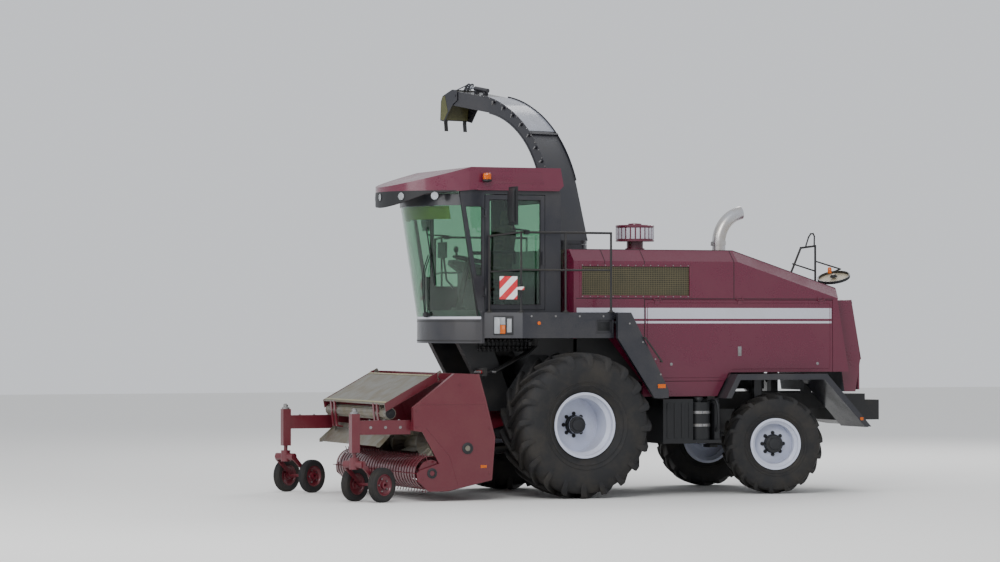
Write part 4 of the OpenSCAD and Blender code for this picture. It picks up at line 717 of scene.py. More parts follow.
for side, sign in (("left", 1), ("right", -1)):
    pivot = ORIGIN + Vector((CASTER_PIVOT[0], sign * CASTER_PIVOT[1], 0))
    rubber_bm, discs = bmesh.new(), bmesh.new()
    for y in (-TWIN_HALF, TWIN_HALF):
        centre = (-CASTER_TRAIL, y, CASTER_RADIUS)
        section = both_sides(SMALL_TYRE) + [(0.126, -0.02), (0.126, 0.02)]
        add_turned(rubber_bm, section + section[:1], centre=centre, steps=64)
        section = both_sides(SMALL_DISC)
        add_turned(discs, section + section[:1], centre=centre, steps=64)
    place = Matrix.Translation(pivot) @ Matrix.Rotation(CASTER_TURN, 4, "Z")
    rubber_bm.transform(place)
    discs.transform(place)
    small_tyres = piece("caster_tyres_" + side, rubber_bm, "caster_wheels_" + side, TYRE, moved=False)
    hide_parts("caster_wheels_" + side)
    piece("caster_discs_" + side, discs, "caster_wheels_" + side, HEADER_RED, moved=False)
    for k, facing in enumerate((-1, 1)):
        nuts = bmesh.new()
        add_turned(nuts, [(0, 0.016), (0.011, 0.016), (0.011, 0.026), (0, 0.026)], centre=(0.078, 0, 0),
                   steps=6)
        hub = Matrix.Translation((-CASTER_TRAIL, facing * TWIN_HALF, CASTER_RADIUS))
        spot = place @ hub @ Matrix.Diagonal((1, facing, 1, 1))
        repeated("caster_nuts_%s_%d" % (side, k), nuts, 5, "caster_wheels_" + side, BOLT,
                 turn=(0, 2 * math.pi / 5, 0), place=spot, moved=False)

# %% [markdown]
# ## The cab
#
# The cab's solids are bare shells. What makes them read as a cab are the dark seals round each pane,
# the silver line under the windscreen, the wiper, and a driver's seat that shows through the glass.
# The windscreen is part of a leaning cylinder, so one small function finds points on it.

# %% Points on the windscreen
SCREEN_FOOT = 2.216
SCREEN_MIDDLE = 0.4203
SCREEN_LEAN = 0.1584
SCREEN_HALF = 1.13
SCREEN_DEPTH = 1.144
SCREEN_EDGE = 0.862
SIDE_PANE = 0.886


def screen_point(y, z, off=0.0):
    """A point on the windscreen's outer face, moved outwards by off."""
    middle_x = SCREEN_MIDDLE + (z - SCREEN_FOOT) * SCREEN_LEAN
    return Vector((middle_x + math.sqrt(1 - (y / SCREEN_HALF) ** 2) * SCREEN_DEPTH + off, y, z))


# %% Strips and seals
def close_strip(bm, rings):
    """Lays the faces of a strip and its two ends."""
    faces = [bm.faces.new(rings[0]), bm.faces.new(rings[-1])] + bridge(bm, rings)
    bmesh.ops.recalc_face_normals(bm, faces=faces)


def add_arc_strip(bm, centre, r0, r1, z0, z1, first, last, steps=40):
    """A curved strip about an upright axis, between two headings in degrees."""
    rings = []
    for i in range(steps + 1):
        a = math.radians(first + (last - first) * i / steps)
        rings.append([bm.verts.new((centre[0] + r * math.cos(a), centre[1] + r * math.sin(a), z))
                      for r, z in ((r0, z0), (r1, z0), (r1, z1), (r0, z1))])
    close_strip(bm, rings)


def rectangle(x0, x1, z0, z1):
    """The corners of a rectangle, in X and Z or as radius and offset."""
    return [(x0, z0), (x1, z0), (x1, z1), (x0, z1)]


def pane_loop(corners, y, radius=0.03):
    """A closed path round a pane, with rounded corners, for a seal."""
    path = []
    spots = [Vector((x, y, z)) for x, z in corners]
    for i, here in enumerate(spots):
        to_last = (spots[i - 1] - here).normalized()
        to_next = (spots[(i + 1) % len(spots)] - here).normalized()
        for t in (0.0, 0.25, 0.5, 0.75, 1.0):
            path.append(here + radius * ((1 - t) ** 2 * to_last + t ** 2 * to_next))
    return path + path[:1]


# %% Seals
seals = bmesh.new()
for y in (SCREEN_EDGE, -SCREEN_EDGE):
    add_tube(seals, [screen_point(y, 2.24 + 1.37 * k / 12) for k in range(13)], 0.011, 8)
corner_light = [(1.124, 2.738), (1.195, 2.738), (1.340, 3.594), (1.124, 3.594)]
for y in (SIDE_PANE, -SIDE_PANE):
    add_tube(seals, pane_loop(corner_light, y, 0.02), 0.007, 8)
add_tube(seals, pane_loop(rectangle(0.282, 1.086, 2.618, 3.743), -SIDE_PANE), 0.008, 8)
rear_loop = pane_loop(rectangle(-0.698, 0.698, 2.818, 3.664), 0)
add_tube(seals, [Vector((0.092, p.x, p.z)) for p in rear_loop], 0.008, 8)
piece("cab_seals", seals, "chassis", SEAL_AND_SHADE)
door_seal = bmesh.new()
add_tube(door_seal, pane_loop(rectangle(0.343, 1.023, 2.379, 3.679), SIDE_PANE), 0.008, 8)
piece("door_seal", door_seal, "cab_door", SEAL_AND_SHADE)

# %% Trim and seams of the nose
trim = bmesh.new()
add_arc_strip(trim, (SCREEN_MIDDLE, 0), 1.136, 1.146, 2.204, 2.236, -51.5, 51.5, 64)
soften(trim, 0.003)
piece("windscreen_trim", trim, "chassis", PALE)
nose_seams = bmesh.new()
for z0, z1 in ((1.93, 1.944), (2.175, 2.185)):
    add_arc_strip(nose_seams, (SCREEN_MIDDLE, 0), 1.138, 1.1445, z0, z1, -51, 51, 64)
piece("nose_seams", nose_seams, "chassis", SEAL_AND_SHADE)

# %% Wiper
wiper = bmesh.new()
foot = screen_point(0.16, 2.262, 0.03)
for shift in (-0.018, 0.018):
    add_tube(wiper, [foot + Vector((0, shift, 0)), screen_point(0.27 + shift, 2.72, 0.045),
                     screen_point(0.42 + shift, 3.0, 0.028)], 0.007, 8, 4)
add_tube(wiper, [screen_point(0.42, 2.62 + 0.08 * k, 0.014) for k in range(10)], 0.009, 8)
add_turned(wiper, [(0, -0.03), (0.034, -0.03), (0.034, 0.008), (0.026, 0.016), (0, 0.018)], "X", foot, 24)
add_box(wiper, foot.x - 0.05, foot.x + 0.01, 0.1, 0.22, 2.235, 2.285)
piece("windscreen_wiper", wiper, "chassis", BLACK, 40)

# %% [markdown]
# ### The sun shade
#
# A strip of green film hangs inside the top of the windscreen. It follows the same curve 30 mm further
# in, so it is a row of small blocks between points that `screen_point` gives.

# %% Sun shade
SHADE = plastic("green_sun_shade", "#b9c24a", 0.4, 0.3)
SHADE_HALF = 0.72
shade = bmesh.new()
for i in range(24):
    y0, y1 = [-SHADE_HALF + 2 * SHADE_HALF * (i + k) / 24 for k in (0, 1)]
    corners = [screen_point(y, z, -0.03) for y, z in rectangle(y0, y1, 3.44, 3.6)]
    front = [shade.verts.new(c) for c in corners]
    back = [shade.verts.new(c - Vector((0.003, 0, 0))) for c in corners]
    shade.faces.new(front)
    shade.faces.new(back[::-1])
    for k in (0, 2):
        shade.faces.new((front[k + 1], front[k], back[k], back[(k + 1) % 4]))
bmesh.ops.remove_doubles(shade, verts=shade.verts, dist=1e-5)
bmesh.ops.recalc_face_normals(shade, faces=shade.faces)
piece("sun_shade", shade, "chassis", SHADE)

# %% [markdown]
# ### The roof's visor
#
# The roof ends in a round visor that shades the windscreen. A black lining covers its underside and a
# black band runs round its rim between the work lamps. Both follow the visor's underside, which slopes
# gently at first and steeply in front, so `visor_underside` gives its height for both.

# %% Visor
VISOR_MIDDLE = 1.17
LINING_RADIUS = 0.945
LINING_REAR = 1.45


def visor_underside(x):
    """Height of the visor's underside at a place along it."""
    return 3.796 - (x - 1.24) * 0.0911 if x < 1.8 else 3.745 - (x - 1.8) * 0.468


lining = bmesh.new()
rows = []
for i in range(41):
    y = -0.935 + 1.87 * i / 40
    lip = VISOR_MIDDLE + math.sqrt(max(LINING_RADIUS ** 2 - y ** 2, 0))
    xs = [LINING_REAR + max(lip - LINING_REAR, 0.0) * k / 8 for k in range(9)]
    rows.append([lining.verts.new((x, y, visor_underside(x) - 0.004)) for x in xs])
for a, b in zip(rows, rows[1:]):
    for k in range(8):
        if (b[k + 1].co - a[k].co).length > 0.03:
            lining.faces.new((a[k], b[k], b[k + 1], a[k + 1]))
bmesh.ops.recalc_face_normals(lining, faces=lining.faces)
bmesh.ops.solidify(lining, geom=lining.faces[:], thickness=0.006)
bmesh.ops.delete(lining, geom=[v for v in lining.verts if not v.link_faces], context="VERTS")
piece("visor_lining", lining, "chassis", BLACK)

# %% Band between the work lamps
band = bmesh.new()
rings = []
for k in range(61):
    a = math.radians(-72 + 144 * k / 60)
    low = visor_underside(VISOR_MIDDLE + 0.961 * math.cos(a)) + 0.001
    rings.append([band.verts.new((VISOR_MIDDLE + r * math.cos(a), r * math.sin(a), z))
                  for r, z in rectangle(0.9603, 0.962, low, 3.785)])
close_strip(band, rings)
piece("visor_lamp_band", band, "chassis", BLACK, 50)

# %% Roof panels
side_panels = bmesh.new()
add_box(side_panels, 0.11, 1.2, 0.944, 0.958, 3.79, 3.812)
add_prism(side_panels, [(0.32, 3.875), (1.02, 3.875), (1.17, 4.02), (0.36, 4.02)], 0.944, 0.954)
soften(side_panels, 0.004)
mirrored(side_panels)
piece("roof_side_panels", side_panels, "chassis", BURGUNDY)
hatch = bmesh.new()
add_box(hatch, 0.35, 1.05, -0.4, 0.4, 4.07, 4.092)
soften(hatch, 0.012, segments=3)
piece("roof_hatch", hatch, "chassis", BURGUNDY)

# %% [markdown]
# ### The driver's seat
#
# Upholstery is never a box: foam crowns in the middle, rolls over at the edges and is pulled in where it
# is stitched. `cushion` starts from a finely cut cube, rounds it as a superellipsoid, then adds the
# crown, the raised sides and the stitched channels as simple functions of the place on the cushion.

# %% Cushions
def cushion(name, size, place, crown, sides, channels):
    """A stuffed cushion that lies flat in X and Y before it is placed; the crown rises along Z."""
    bm = bmesh.new()
    bmesh.ops.create_cube(bm, size=2)
    bmesh.ops.subdivide_edges(bm, edges=bm.edges, cuts=15, use_grid_fill=True)
    for v in bm.verts:
        u, s, t = v.co
        scale = (abs(u) ** 7 + abs(s) ** 7 + abs(t) ** 7) ** (-1 / 7)
        v.co = Vector((u * size[0] / 2, s * size[1] / 2, t * size[2] / 2)) * scale
        if t > 0.2:
            climb = max(0.0, min(1.0, (abs(s) - 0.55) / 0.2))
            fall = 1 - max(0.0, (abs(s) - 0.85) / 0.15) ** 2
            stitch = max(0.0, math.cos(9 * math.pi * u)) ** 8 * (abs(s) < 0.6)
            rise = crown * (1 - u ** 2) * (1 - s ** 2) + sides * climb * fall - 0.006 * channels * stitch
            v.co.z += rise * min(1.0, t)
    bm.transform(place)
    obj = piece(name, bm, "chassis", CLOTH, 180)
    return obj


upright = Matrix.Rotation(math.radians(-97.6), 4, "Y") @ Matrix.Rotation(math.pi, 4, "X")
seat = cushion("seat_cushion", (0.5, 0.52, 0.13), Matrix.Translation((0.67, 0, 2.76)), 0.02, 0.028, 1)
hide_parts("operator_seat")
cushion("seat_back", (0.62, 0.5, 0.12), Matrix.Translation((0.475, 0, 3.08)) @ upright, 0.012, 0.03, 1)
cushion("head_rest", (0.2, 0.3, 0.1), Matrix.Translation((0.418, 0, 3.475)) @ upright, 0.01, 0.0, 0)

# %% Seat frame with its bellows and arm rests
CAB_FLOOR = 2.316
seat_frame = bmesh.new()
folds = [(0.17 if k % 2 else 0.145, 0.04 + 0.034 * k) for k in range(10)]
base_plate = [(0, 0), (0.19, 0), (0.19, 0.02), (0.15, 0.03)]
top_plate = [(0.15, 0.37), (0.2, 0.375), (0.2, 0.39), (0, 0.39)]
add_turned(seat_frame, base_plate + folds + top_plate, "Z", (0.65, 0, CAB_FLOOR), 40)
for y in (-0.3, 0.3):
    add_tube(seat_frame, [(0.43, y * 0.9, 2.9), (0.45, y, 3.02), (0.48, y, 3.03)], 0.018, 10, 3)
    add_box(seat_frame, 0.45, 0.78, y - 0.035, y + 0.035, 3.02, 3.065)
for y in (-0.06, 0.06):
    add_tube(seat_frame, [(0.425, y, 3.3), (0.42, y, 3.42)], 0.008, 8)
soften(seat_frame, 0.008, 50)
piece("seat_frame", seat_frame, "chassis", BLACK)

# %% Console with its lever and monitor
console = bmesh.new()
side_view = [(0.5, CAB_FLOOR), (0.86, CAB_FLOOR), (0.86, 2.8), (1.0, 2.9), (0.98, 2.96), (0.5, 2.88)]
add_prism(console, side_view, -0.62, -0.4)
add_tube(console, [(0.9, -0.5, 2.9), (0.92, -0.5, 3.06)], 0.014, 10)
grip = [(0, 0), (0.026, 0.005), (0.032, 0.04), (0.024, 0.075), (0, 0.085)]
add_turned(console, grip, "Z", (0.92, -0.5, 3.05), 20)
add_box(console, 1.1, 1.13, -0.62, -0.34, 2.98, 3.18)
add_tube(console, [(1.1, -0.48, 3.0), (1.05, -0.5, 2.7), (0.95, -0.5, 2.6)], 0.014, 10)
soften(console, 0.01, 50)
piece("cab_console", console, "chassis", GREY)
monitor_face = bmesh.new()
add_box(monitor_face, 1.096, 1.1, -0.6, -0.36, 3.0, 3.16)
piece("monitor_face", monitor_face, "chassis", CLEAR)

# %% [markdown]
# ## The hood
#
# The hood is pressed sheet in panels. Dark gaskets fill the joints between the panels, raised frames
# hold the intake screens, and two plain painted stripes run along the side doors. A gasket is a thin
# tube that is half sunk in the sheet, which costs few faces and looks like a filled joint.

# %% Gaskets
HOOD_SIDE = 1.1
HOOD_TOP = 3.074
HOOD_KNEE = -2.27
GASKET_Y = HOOD_SIDE + 0.0008
GASKET = 0.0035
SEAM_Z = 2.462
SCREEN_TOP = 2.89
gaskets = bmesh.new()
for x in (-0.44, -0.98, -2.22):
    path = [(x, GASKET_Y, SCREEN_TOP), (x, GASKET_Y, HOOD_TOP - 0.146), (x, 0.9505, HOOD_TOP + 0.0005),
            (x, 0, HOOD_TOP + 0.0008)]
    for a, b in zip(path, path[1:]):
        add_tube(gaskets, [a, b], GASKET, 6)
for a, b in (((-2.22, SEAM_Z), (-2.22, SCREEN_TOP)), ((-0.98, 1.985), (-0.98, SEAM_Z)),
             ((-0.05, SEAM_Z), (-3.63, SEAM_Z))):
    add_tube(gaskets, [(x, GASKET_Y, z) for x, z in (a, b)], GASKET, 6)
add_tube(gaskets, [(-0.05, 0.951, 3.0745), (HOOD_KNEE, 0.951, 3.0745), (-3.735, 0.951, 2.604)], 0.003, 6)
mirrored(gaskets)
piece("hood_gaskets", gaskets, "chassis", SEAL_AND_SHADE)

# %% Screen frames
frames = bmesh.new()
window = rectangle(-1.6, -0.13, 2.5, 2.86)
outer = rectangle(-1.63, -0.1, 2.472, 2.888)
for i in range(4):
    j = (i + 1) % 4
    add_prism(frames, [outer[i], outer[j], window[j], window[i]], 1.098, 1.106)
soften(frames, 0.003)
mirrored(frames)
piece("screen_frames", frames, "chassis", BURGUNDY)
rivet = bmesh.new()
for z in (2.486, 2.874):
    add_turned(rivet, [(0, 0), (0.008, 0), (0.006, 0.004), (0, 0.005)], centre=(-1.58, 1.106, z), steps=12)
repeated("screen_rivets", rivet, 15, "chassis", BOLT, step=(0.103, 0, 0), both=True)

# %% Side doors
STRIPES = ((2.21, 2.345), (2.152, 2.18))
DOOR_OUTLINE = [(-0.99, 2.44), (-3.61, 2.44), (-3.61, 1.545), (-2.16, 1.545), (-2.105, 1.44), (-1.09, 1.44),
                (-0.99, 1.63)]
for side, sign in (("left", 1), ("right", -1)):
    stripes = bmesh.new()
    for z0, z1 in STRIPES:
        add_box(stripes, -3.60, -1.0, sign * 1.0995, sign * 1.1008, z0, z1)
    piece("door_stripes_" + side, stripes, "side_door_" + side, PALE)
    latch = bmesh.new()
    add_box(latch, -2.325, -2.275, sign * 1.099, sign * 1.103, 1.74, 1.86)
    add_box(latch, -2.312, -2.288, sign * 1.102, sign * 1.112, 1.755, 1.845)
    for x in (-3.4, -1.35):
        knob = [(0, HOOD_SIDE), (0.02, HOOD_SIDE), (0.018, HOOD_SIDE + 0.004), (0, HOOD_SIDE + 0.005)]
        add_turned(latch, [(radius, sign * y) for radius, y in knob], centre=(x, 0, 1.64), steps=20)
    soften(latch, 0.003)
    piece("door_latches_" + side, latch, "side_door_" + side, BOLT)
    edge = bmesh.new()
    for shift in (0.028, 0.034):
        inner = [(x + (shift if x < -2.2 else -shift), z + (shift if z < 2 else -shift))
                 for x, z in DOOR_OUTLINE]
        add_tube(edge, pane_loop(inner, sign * HOOD_SIDE, 0.02), 0.0025, 6)
    piece("door_pressing_" + side, edge, "side_door_" + side, BURGUNDY)

front_stripes = bmesh.new()
for z0, z1 in STRIPES:
    add_box(front_stripes, -0.98, -0.06, 1.0995, 1.1008, z0, z1)
mirrored(front_stripes)
piece("front_stripes", front_stripes, "chassis", PALE)

# %% [markdown]
# ### Grille, exhaust and air cleaner
#
# The rear grille's slats are one slat and the repeating tree, inside a painted surround, and columns of
# small punched holes run up the hood's rear corners. The exhaust has clamp rings and is black with soot
# inside. The air cleaner's drum has bands and pale panels all round.

# %% Grille
GRILLE_TOP = Vector((-3.99, 0, 2.446))
GRILLE_FOOT = Vector((-4.12, 0, 1.686))
rise = GRILLE_TOP - GRILLE_FOOT
slat = bmesh.new()
add_prism(slat, [(-0.012, -0.006), (0.02, 0.012), (0.022, 0.008), (-0.008, -0.011)], -0.81, 0.81)
slat.transform(Matrix.Translation(GRILLE_FOOT + rise * 0.115 + Vector((0.008, 0, 0))))
repeated("grille_slats", slat, 30, "chassis", GREY, step=rise * 0.0268)
surround = bmesh.new()
post = [(-3.985, 2.446), (-4.125, 1.686), (-4.138, 1.688), (-3.998, 2.452)]
for y in (-0.86, 0.86):
    add_prism(surround, post, y - 0.035, y + 0.035)
add_prism(surround, [(-3.995, 2.4), (-3.985, 2.45), (-3.998, 2.456), (-4.01, 2.404)], -0.895, 0.895)
add_prism(surround, [(-4.118, 1.686), (-4.107, 1.76), (-4.12, 1.764), (-4.131, 1.69)], -0.895, 0.895)
add_box(surround, -4.11, -4.085, 0.78, 0.9, 1.3, 1.66)
side_skin = [(-3.745, 2.446), (-3.99, 2.446), (-4.12, 1.686), (-4.05, 1.276), (-3.89, 1.276), (-3.85, 1.536)]
for y in (-0.9035, 0.9003):
    add_prism(surround, side_skin, y, y + 0.0032)
soften(surround, 0.003)
piece("grille_surround", surround, "chassis", BURGUNDY)

# %% Punched corners
hole = bmesh.new()
for k in range(4):
    for shift, y in ((0, 0.0), (0.0125, 0.02)):
        add_turned(hole, [(0, 0), (0.006, 0), (0.006, 0.0015), (0, 0.0015)],
                   centre=(-3.97 - 0.02 * k - shift, 0.9, 1.33 + 0.012 * k), steps=8)
repeated("grille_perforations", hole, 26, "chassis", SEAL_AND_SHADE, step=(0.0045, 0, 0.026),
         both=True)

# %% Exhaust
EXHAUST_X = -2.44
EXHAUST_Y = 0.2
BEND_RADIUS = 0.4
BEND_Z = 3.19
bands = bmesh.new()
centre = Vector((EXHAUST_X, EXHAUST_Y, 0))
for r0, r1, z0, z1 in ((0.086, 0.094, 2.9, 2.945), (0.0865, 0.0905, 3.0, 3.02)):
    add_turned(bands, rectangle(r0, r1, z0, z1), "Z", centre, 40)
add_box(bands, -2.36, -2.34, EXHAUST_Y - 0.03, EXHAUST_Y + 0.03, 3.15, 3.2)
piece("exhaust_bands", bands, "chassis", BOLT)
soot = bmesh.new()
bend = []
for k in range(13):
    t = math.radians(20 + 57.4 * k / 12)
    bend.append(Vector((EXHAUST_X - BEND_RADIUS * (1 - math.cos(t)), EXHAUST_Y,
                        BEND_Z + BEND_RADIUS * math.sin(t))))
add_tube(soot, bend, 0.0805, 32)
bmesh.ops.delete(soot, geom=[f for f in soot.faces if len(f.verts) > 4], context="FACES_ONLY")
bmesh.ops.reverse_faces(soot, faces=soot.faces)
bmesh.ops.solidify(soot, geom=soot.faces[:], thickness=0.001)
bmesh.ops.recalc_face_normals(soot, faces=soot.faces)
piece("exhaust_soot", soot, "chassis", SEAL_AND_SHADE)

# %% Air cleaner
cleaner = bmesh.new()
centre = Vector((-1.21, 0.3, HOOD_TOP))
for z0, z1, r in ((0.118, 0.14, 0.246), (0.298, 0.326, 0.247)):
    add_turned(cleaner, [(0.2, z0), (r, z0), (r, z1 - 0.006), (r - 0.008, z1), (0.2, z1)], "Z", centre, 64)
add_turned(cleaner, [(0, 0.32), (0.09, 0.32), (0.085, 0.345), (0.03, 0.355), (0, 0.355)], "Z", centre, 32)
add_turned(cleaner, [(0.105, 0), (0.125, 0), (0.125, 0.03), (0.112, 0.034), (0.105, 0.034)], "Z", centre, 40)
piece("air_cleaner_bands", cleaner, "chassis", BURGUNDY)
panel = bmesh.new()
add_box(panel, 0.238, 0.244, -0.022, 0.022, 0.15, 0.288)
repeated("air_cleaner_panels", panel, 24, "chassis", PALE, turn=(0, 0, math.pi / 12),
         place=Matrix.Translation(centre))

# %% [markdown]
# ## The spout
#
# The chute leans to the far side, so its parts are built upright in its own plane and one matrix turns
# them all. Thin flanges edge the chute, a light grey skin covers the back of its outer length, and the
# flap's inside is stained by years of wet crop.

# %% The chute's plane and arcs
SPOUT = Matrix.Translation(ORIGIN + Vector((-0.36, 0, 0))) @ Matrix.Rotation(math.radians(-72), 4, "Z")
BACK = (Vector((1.68404, 0, 3.37689)), 1.75)
BELLY = (Vector((1.46169, 0, 3.6)), 1.30169)
FLAP = Vector((1.91252, 0, 5.13325))


def on_arc(arc, degrees, off=0.0, y=0.0):
    """A point on the back's or the belly's arc, moved outwards by off."""
    a = math.radians(degrees)
    return arc[0] + Vector(((arc[1] + off) * math.cos(a), y, (arc[1] + off) * math.sin(a)))


def add_shell(bm, arc, r0, r1, y0, y1, first, last, steps):
    """A strip bent along an arc, from one heading to another."""
    rings = []
    for k in range(steps + 1):
        a = first + (last - first) * k / steps
        rings.append([bm.verts.new(on_arc(arc, a, r, y)) for r, y in rectangle(r0, r1, y0, y1)])
    close_strip(bm, rings)


# %% Flanges and skin
# The back of the chute's outer length is a lighter grey than its blue-black sides.
BACK_GREY = paint("light_back_grey_enamel", "#8b8f9b", "#8a8375", rough=0.35, coat=0.3, dust_amount=0.25)
flanges = bmesh.new()
for y in (-0.231, 0.225):
    add_shell(flanges, BACK, -0.004, 0.018, y, y + 0.006, 160, 100, 40)
    add_shell(flanges, BELLY, -0.012, 0.008, y, y + 0.006, 175, 101, 40)
flanges.transform(SPOUT)
piece("chute_flanges", flanges, "spout", DARK, moved=False)
skin = bmesh.new()
add_shell(skin, BACK, 0.0005, 0.003, -0.221, 0.221, 135, 100.5, 32)
skin.transform(SPOUT)
piece("chute_pale_skin", skin, "spout", BACK_GREY, 50, moved=False)

# %% Bolts and clamps
edge_bolt = bmesh.new()
add_turned(edge_bolt, [(0, 0), (0.009, 0), (0.009, 0.004), (0.005, 0.008), (0, 0.008)],
           centre=(0, 0.231, 0), steps=6)
edge_bolt.transform(Matrix.Translation(Vector((BACK[1] + 0.007, 0, 0))))
first_bolt = Matrix.Translation(BACK[0]) @ Matrix.Rotation(math.radians(-102), 4, "Y")
repeated("chute_edge_bolts", edge_bolt, 15, "spout", BOLT, turn=(0, math.radians(-4), 0),
         place=SPOUT @ first_bolt, moved=False)
clamps = bmesh.new()
for degrees in range(109, 152, 7):
    clamp = bmesh.new()
    add_box(clamp, -0.04, 0.012, 0.243, 0.252, -0.006, 0.006)
    add_turned(clamp, rectangle(0, 0.011, 0.24, 0.256), steps=16)
    at = on_arc(BACK, degrees, -0.019)
    clamp.transform(Matrix.Translation(at) @ Matrix.Rotation(math.radians(-degrees), 4, "Y"))
    join(clamps, clamp)
clamps.transform(SPOUT)
piece("chute_clamps", clamps, "spout", BOLT, moved=False)

# %% The flap's liner, stain and rubber tabs
LINER = [(0.056, 0.070), (0.246, 0), (0.270, -0.064), (0.288, -0.300), (0.280, -0.300), (0.262, -0.066),
         (0.238, -0.008), (0.052, 0.060)]
CHEEK = [(0.20, 0.015), (0.248, -0.005), (0.272, -0.066), (0.286, -0.296), (0.222, -0.312), (0.14, -0.2)]
RUBBER_TAB = [(0.278, -0.25), (0.283, -0.25), (0.292, -0.34), (0.28, -0.45), (0.274, -0.448), (0.286, -0.34)]


def flap_piece(name, outline, spans, material):
    """A plate on the flap: an outline from the flap's pivot, once for each span across the chute."""
    bm = bmesh.new()
    for y0, y1 in spans:
        add_prism(bm, [(FLAP.x + x, FLAP.z + z) for x, z in outline], y0, y1)
    bm.transform(SPOUT)
    piece(name, bm, "flap", material, moved=False)


flap_piece("flap_liner", LINER, [(-0.218, 0.218)], STAINED)
flap_piece("flap_stain", CHEEK, [(y, y + 0.002) for y in (-0.2405, 0.2385)], STAINED)
flap_piece("flap_rubber_tabs", RUBBER_TAB, [(y, y + 0.06) for y in (-0.2, 0.12)], HOSE)

# %% [markdown]
# ## The header
#
# The side plates are pressed sheet, so they get pressed creases, a rolled rear edge and a few bolts.
# The wind guard's plate is dusty from the crop that slides along it. It sits between painted side
# flanges, and two straps hold the press plate below it. Bolts differ only in size, so `bolt_head` gives
# the profile of each.

# %% Creases and the rolled edge
SIDE_PLATE = 1.475
REAR_EDGE = [(1.395, 1.537), (1.301, 1.213), (1.185, 0.765), (1.226, 0.257), (1.444, 0.210), (1.791, 0.133),
             (2.039, 0.133), (2.180, 0.257), (2.188, 0.350)]
beads = bmesh.new()
for path in (((2.205, 1.172), (1.30, 1.168)), ((2.075, 0.889), (1.771, 0.548), (1.66, 0.19))):
    add_tube(beads, [(x, SIDE_PLATE - 0.0005, z) for x, z in path], 0.0035, 8)
for a, b in zip(REAR_EDGE, REAR_EDGE[1:]):
    add_tube(beads, [(x, SIDE_PLATE - 0.007, z) for x, z in (a, b)], 0.0105, 8)
mirrored(beads)
piece("header_beads", beads, "header", HEADER_RED)

# %% Bolts of the side plates
BOLT_PLACES = [(1.638, 1.408), (1.961, 0.477), (2.2, 0.9), (2.2, 1.1), (2.12, 0.28), (1.26, 0.33),
               (1.25, 0.88)]


def bolt_head(face, washer, head, thick, height):
    """The profile of a bolt's head and its washer on a face: radius and offset pairs."""
    return [(0, face), (washer, face), (washer, face + thick), (head, face + 0.003), (head, face + height),
            (0, face + height + 0.001)]


bolts = bmesh.new()
for x, z in BOLT_PLACES:
    add_turned(bolts, bolt_head(SIDE_PLATE, 0.016, 0.0095, 0.0025, 0.009), centre=(x, 0, z), steps=6)
mirrored(bolts)
piece("header_bolts", bolts, "header", HEADER_RED)

# %% Bearings and reflectors
bearings = bmesh.new()
for x, z, r in ((1.540, 0.640, 0.07), (2.000, 0.345, 0.062)):
    flange = [(0.034, SIDE_PLATE), (r, SIDE_PLATE), (r, SIDE_PLATE + 0.008), (r - 0.012, SIDE_PLATE + 0.015),
              (0.034, SIDE_PLATE + 0.015), (0.034, SIDE_PLATE)]
    add_turned(bearings, flange, centre=(x, 0, z), steps=32)
    for k in range(3):
        a = math.radians(30 + 120 * k)
        add_turned(bearings, [(0, 1.489), (0.009, 1.489), (0.009, 1.496), (0, 1.497)],
                   centre=(x + 0.05 * math.cos(a), 0, z + 0.05 * math.sin(a)), steps=6)
mirrored(bearings)
piece("header_bearings", bearings, "header", IRON)
reflectors = bmesh.new()
add_box(reflectors, 1.29, 1.37, SIDE_PLATE, SIDE_PLATE + 0.0035, 0.40, 0.435)
soften(reflectors, 0.001)
mirrored(reflectors)
piece("header_reflectors", reflectors, "header", ORANGE)

# %% Wind guard
lips = bmesh.new()
for x, z in ((2.465, 1.184), (1.88, 1.505)):
    lip = [(x, z), (x - 0.022, z + 0.012), (x - 0.0165, z + 0.0225), (x + 0.0055, z + 0.0105)]
    add_prism(lips, lip, -1.119, 1.119)
soften(lips, 0.001)
piece("wind_guard_lips", lips, "wind_guard", DUSTY)
guard_sides = bmesh.new()
for y0, y1 in ((1.1343, 1.1372), (1.1168, 1.1197)):
    add_prism(guard_sides, [(2.487, 1.181), (1.80, 1.5585), (1.80, 1.447), (2.469, 1.082)], y0, y1)
strap = [(2.468, 1.18), (2.488, 1.178), (2.452, 0.86), (2.372, 0.845), (2.372, 0.862), (2.436, 0.874)]
for y in (-0.85, 0.72):
    add_prism(guard_sides, strap, y - 0.025, y + 0.025)
for x, z in ((1.80, 1.47), (1.95, 1.40), (2.15, 1.29), (2.35, 1.17)):
    add_turned(guard_sides, bolt_head(1.137, 0.012, 0.008, 0.002, 0.008), centre=(x, 0, z), steps=6)
mirrored(guard_sides)
piece("wind_guard_sides", guard_sides, "wind_guard", HEADER_RED)

# %% Roller of the wind guard
ROLLER_AXIS = (2.395, 0, 1.06)
lag = bmesh.new()
add_prism(lag, [(0.0695, -0.006), (0.076, -0.004), (0.076, 0.004), (0.0695, 0.006)], -1.09, 1.09)
repeated("roller_lagging", lag, 12, "wind_guard", SCOURED, turn=(0, math.pi / 6, 0),
         place=Matrix.Translation(ROLLER_AXIS))
ends = bmesh.new()
add_turned(ends, [(0, 1.1), (0.062, 1.1), (0.058, 1.104), (0.02, 1.106), (0.02, 1.116), (0, 1.117)],
           centre=ROLLER_AXIS, steps=32)
mirrored(ends)
piece("roller_ends", ends, "wind_guard", IRON)

# %% [markdown]
# ### Casters and hoses
#
# Each caster post ends in a grease cap, and bolts run along its arm. The four hoses run side by
# side into a coupling plate, where each has a crimped steel end and a red dust ring. All of these are
# small turned parts.

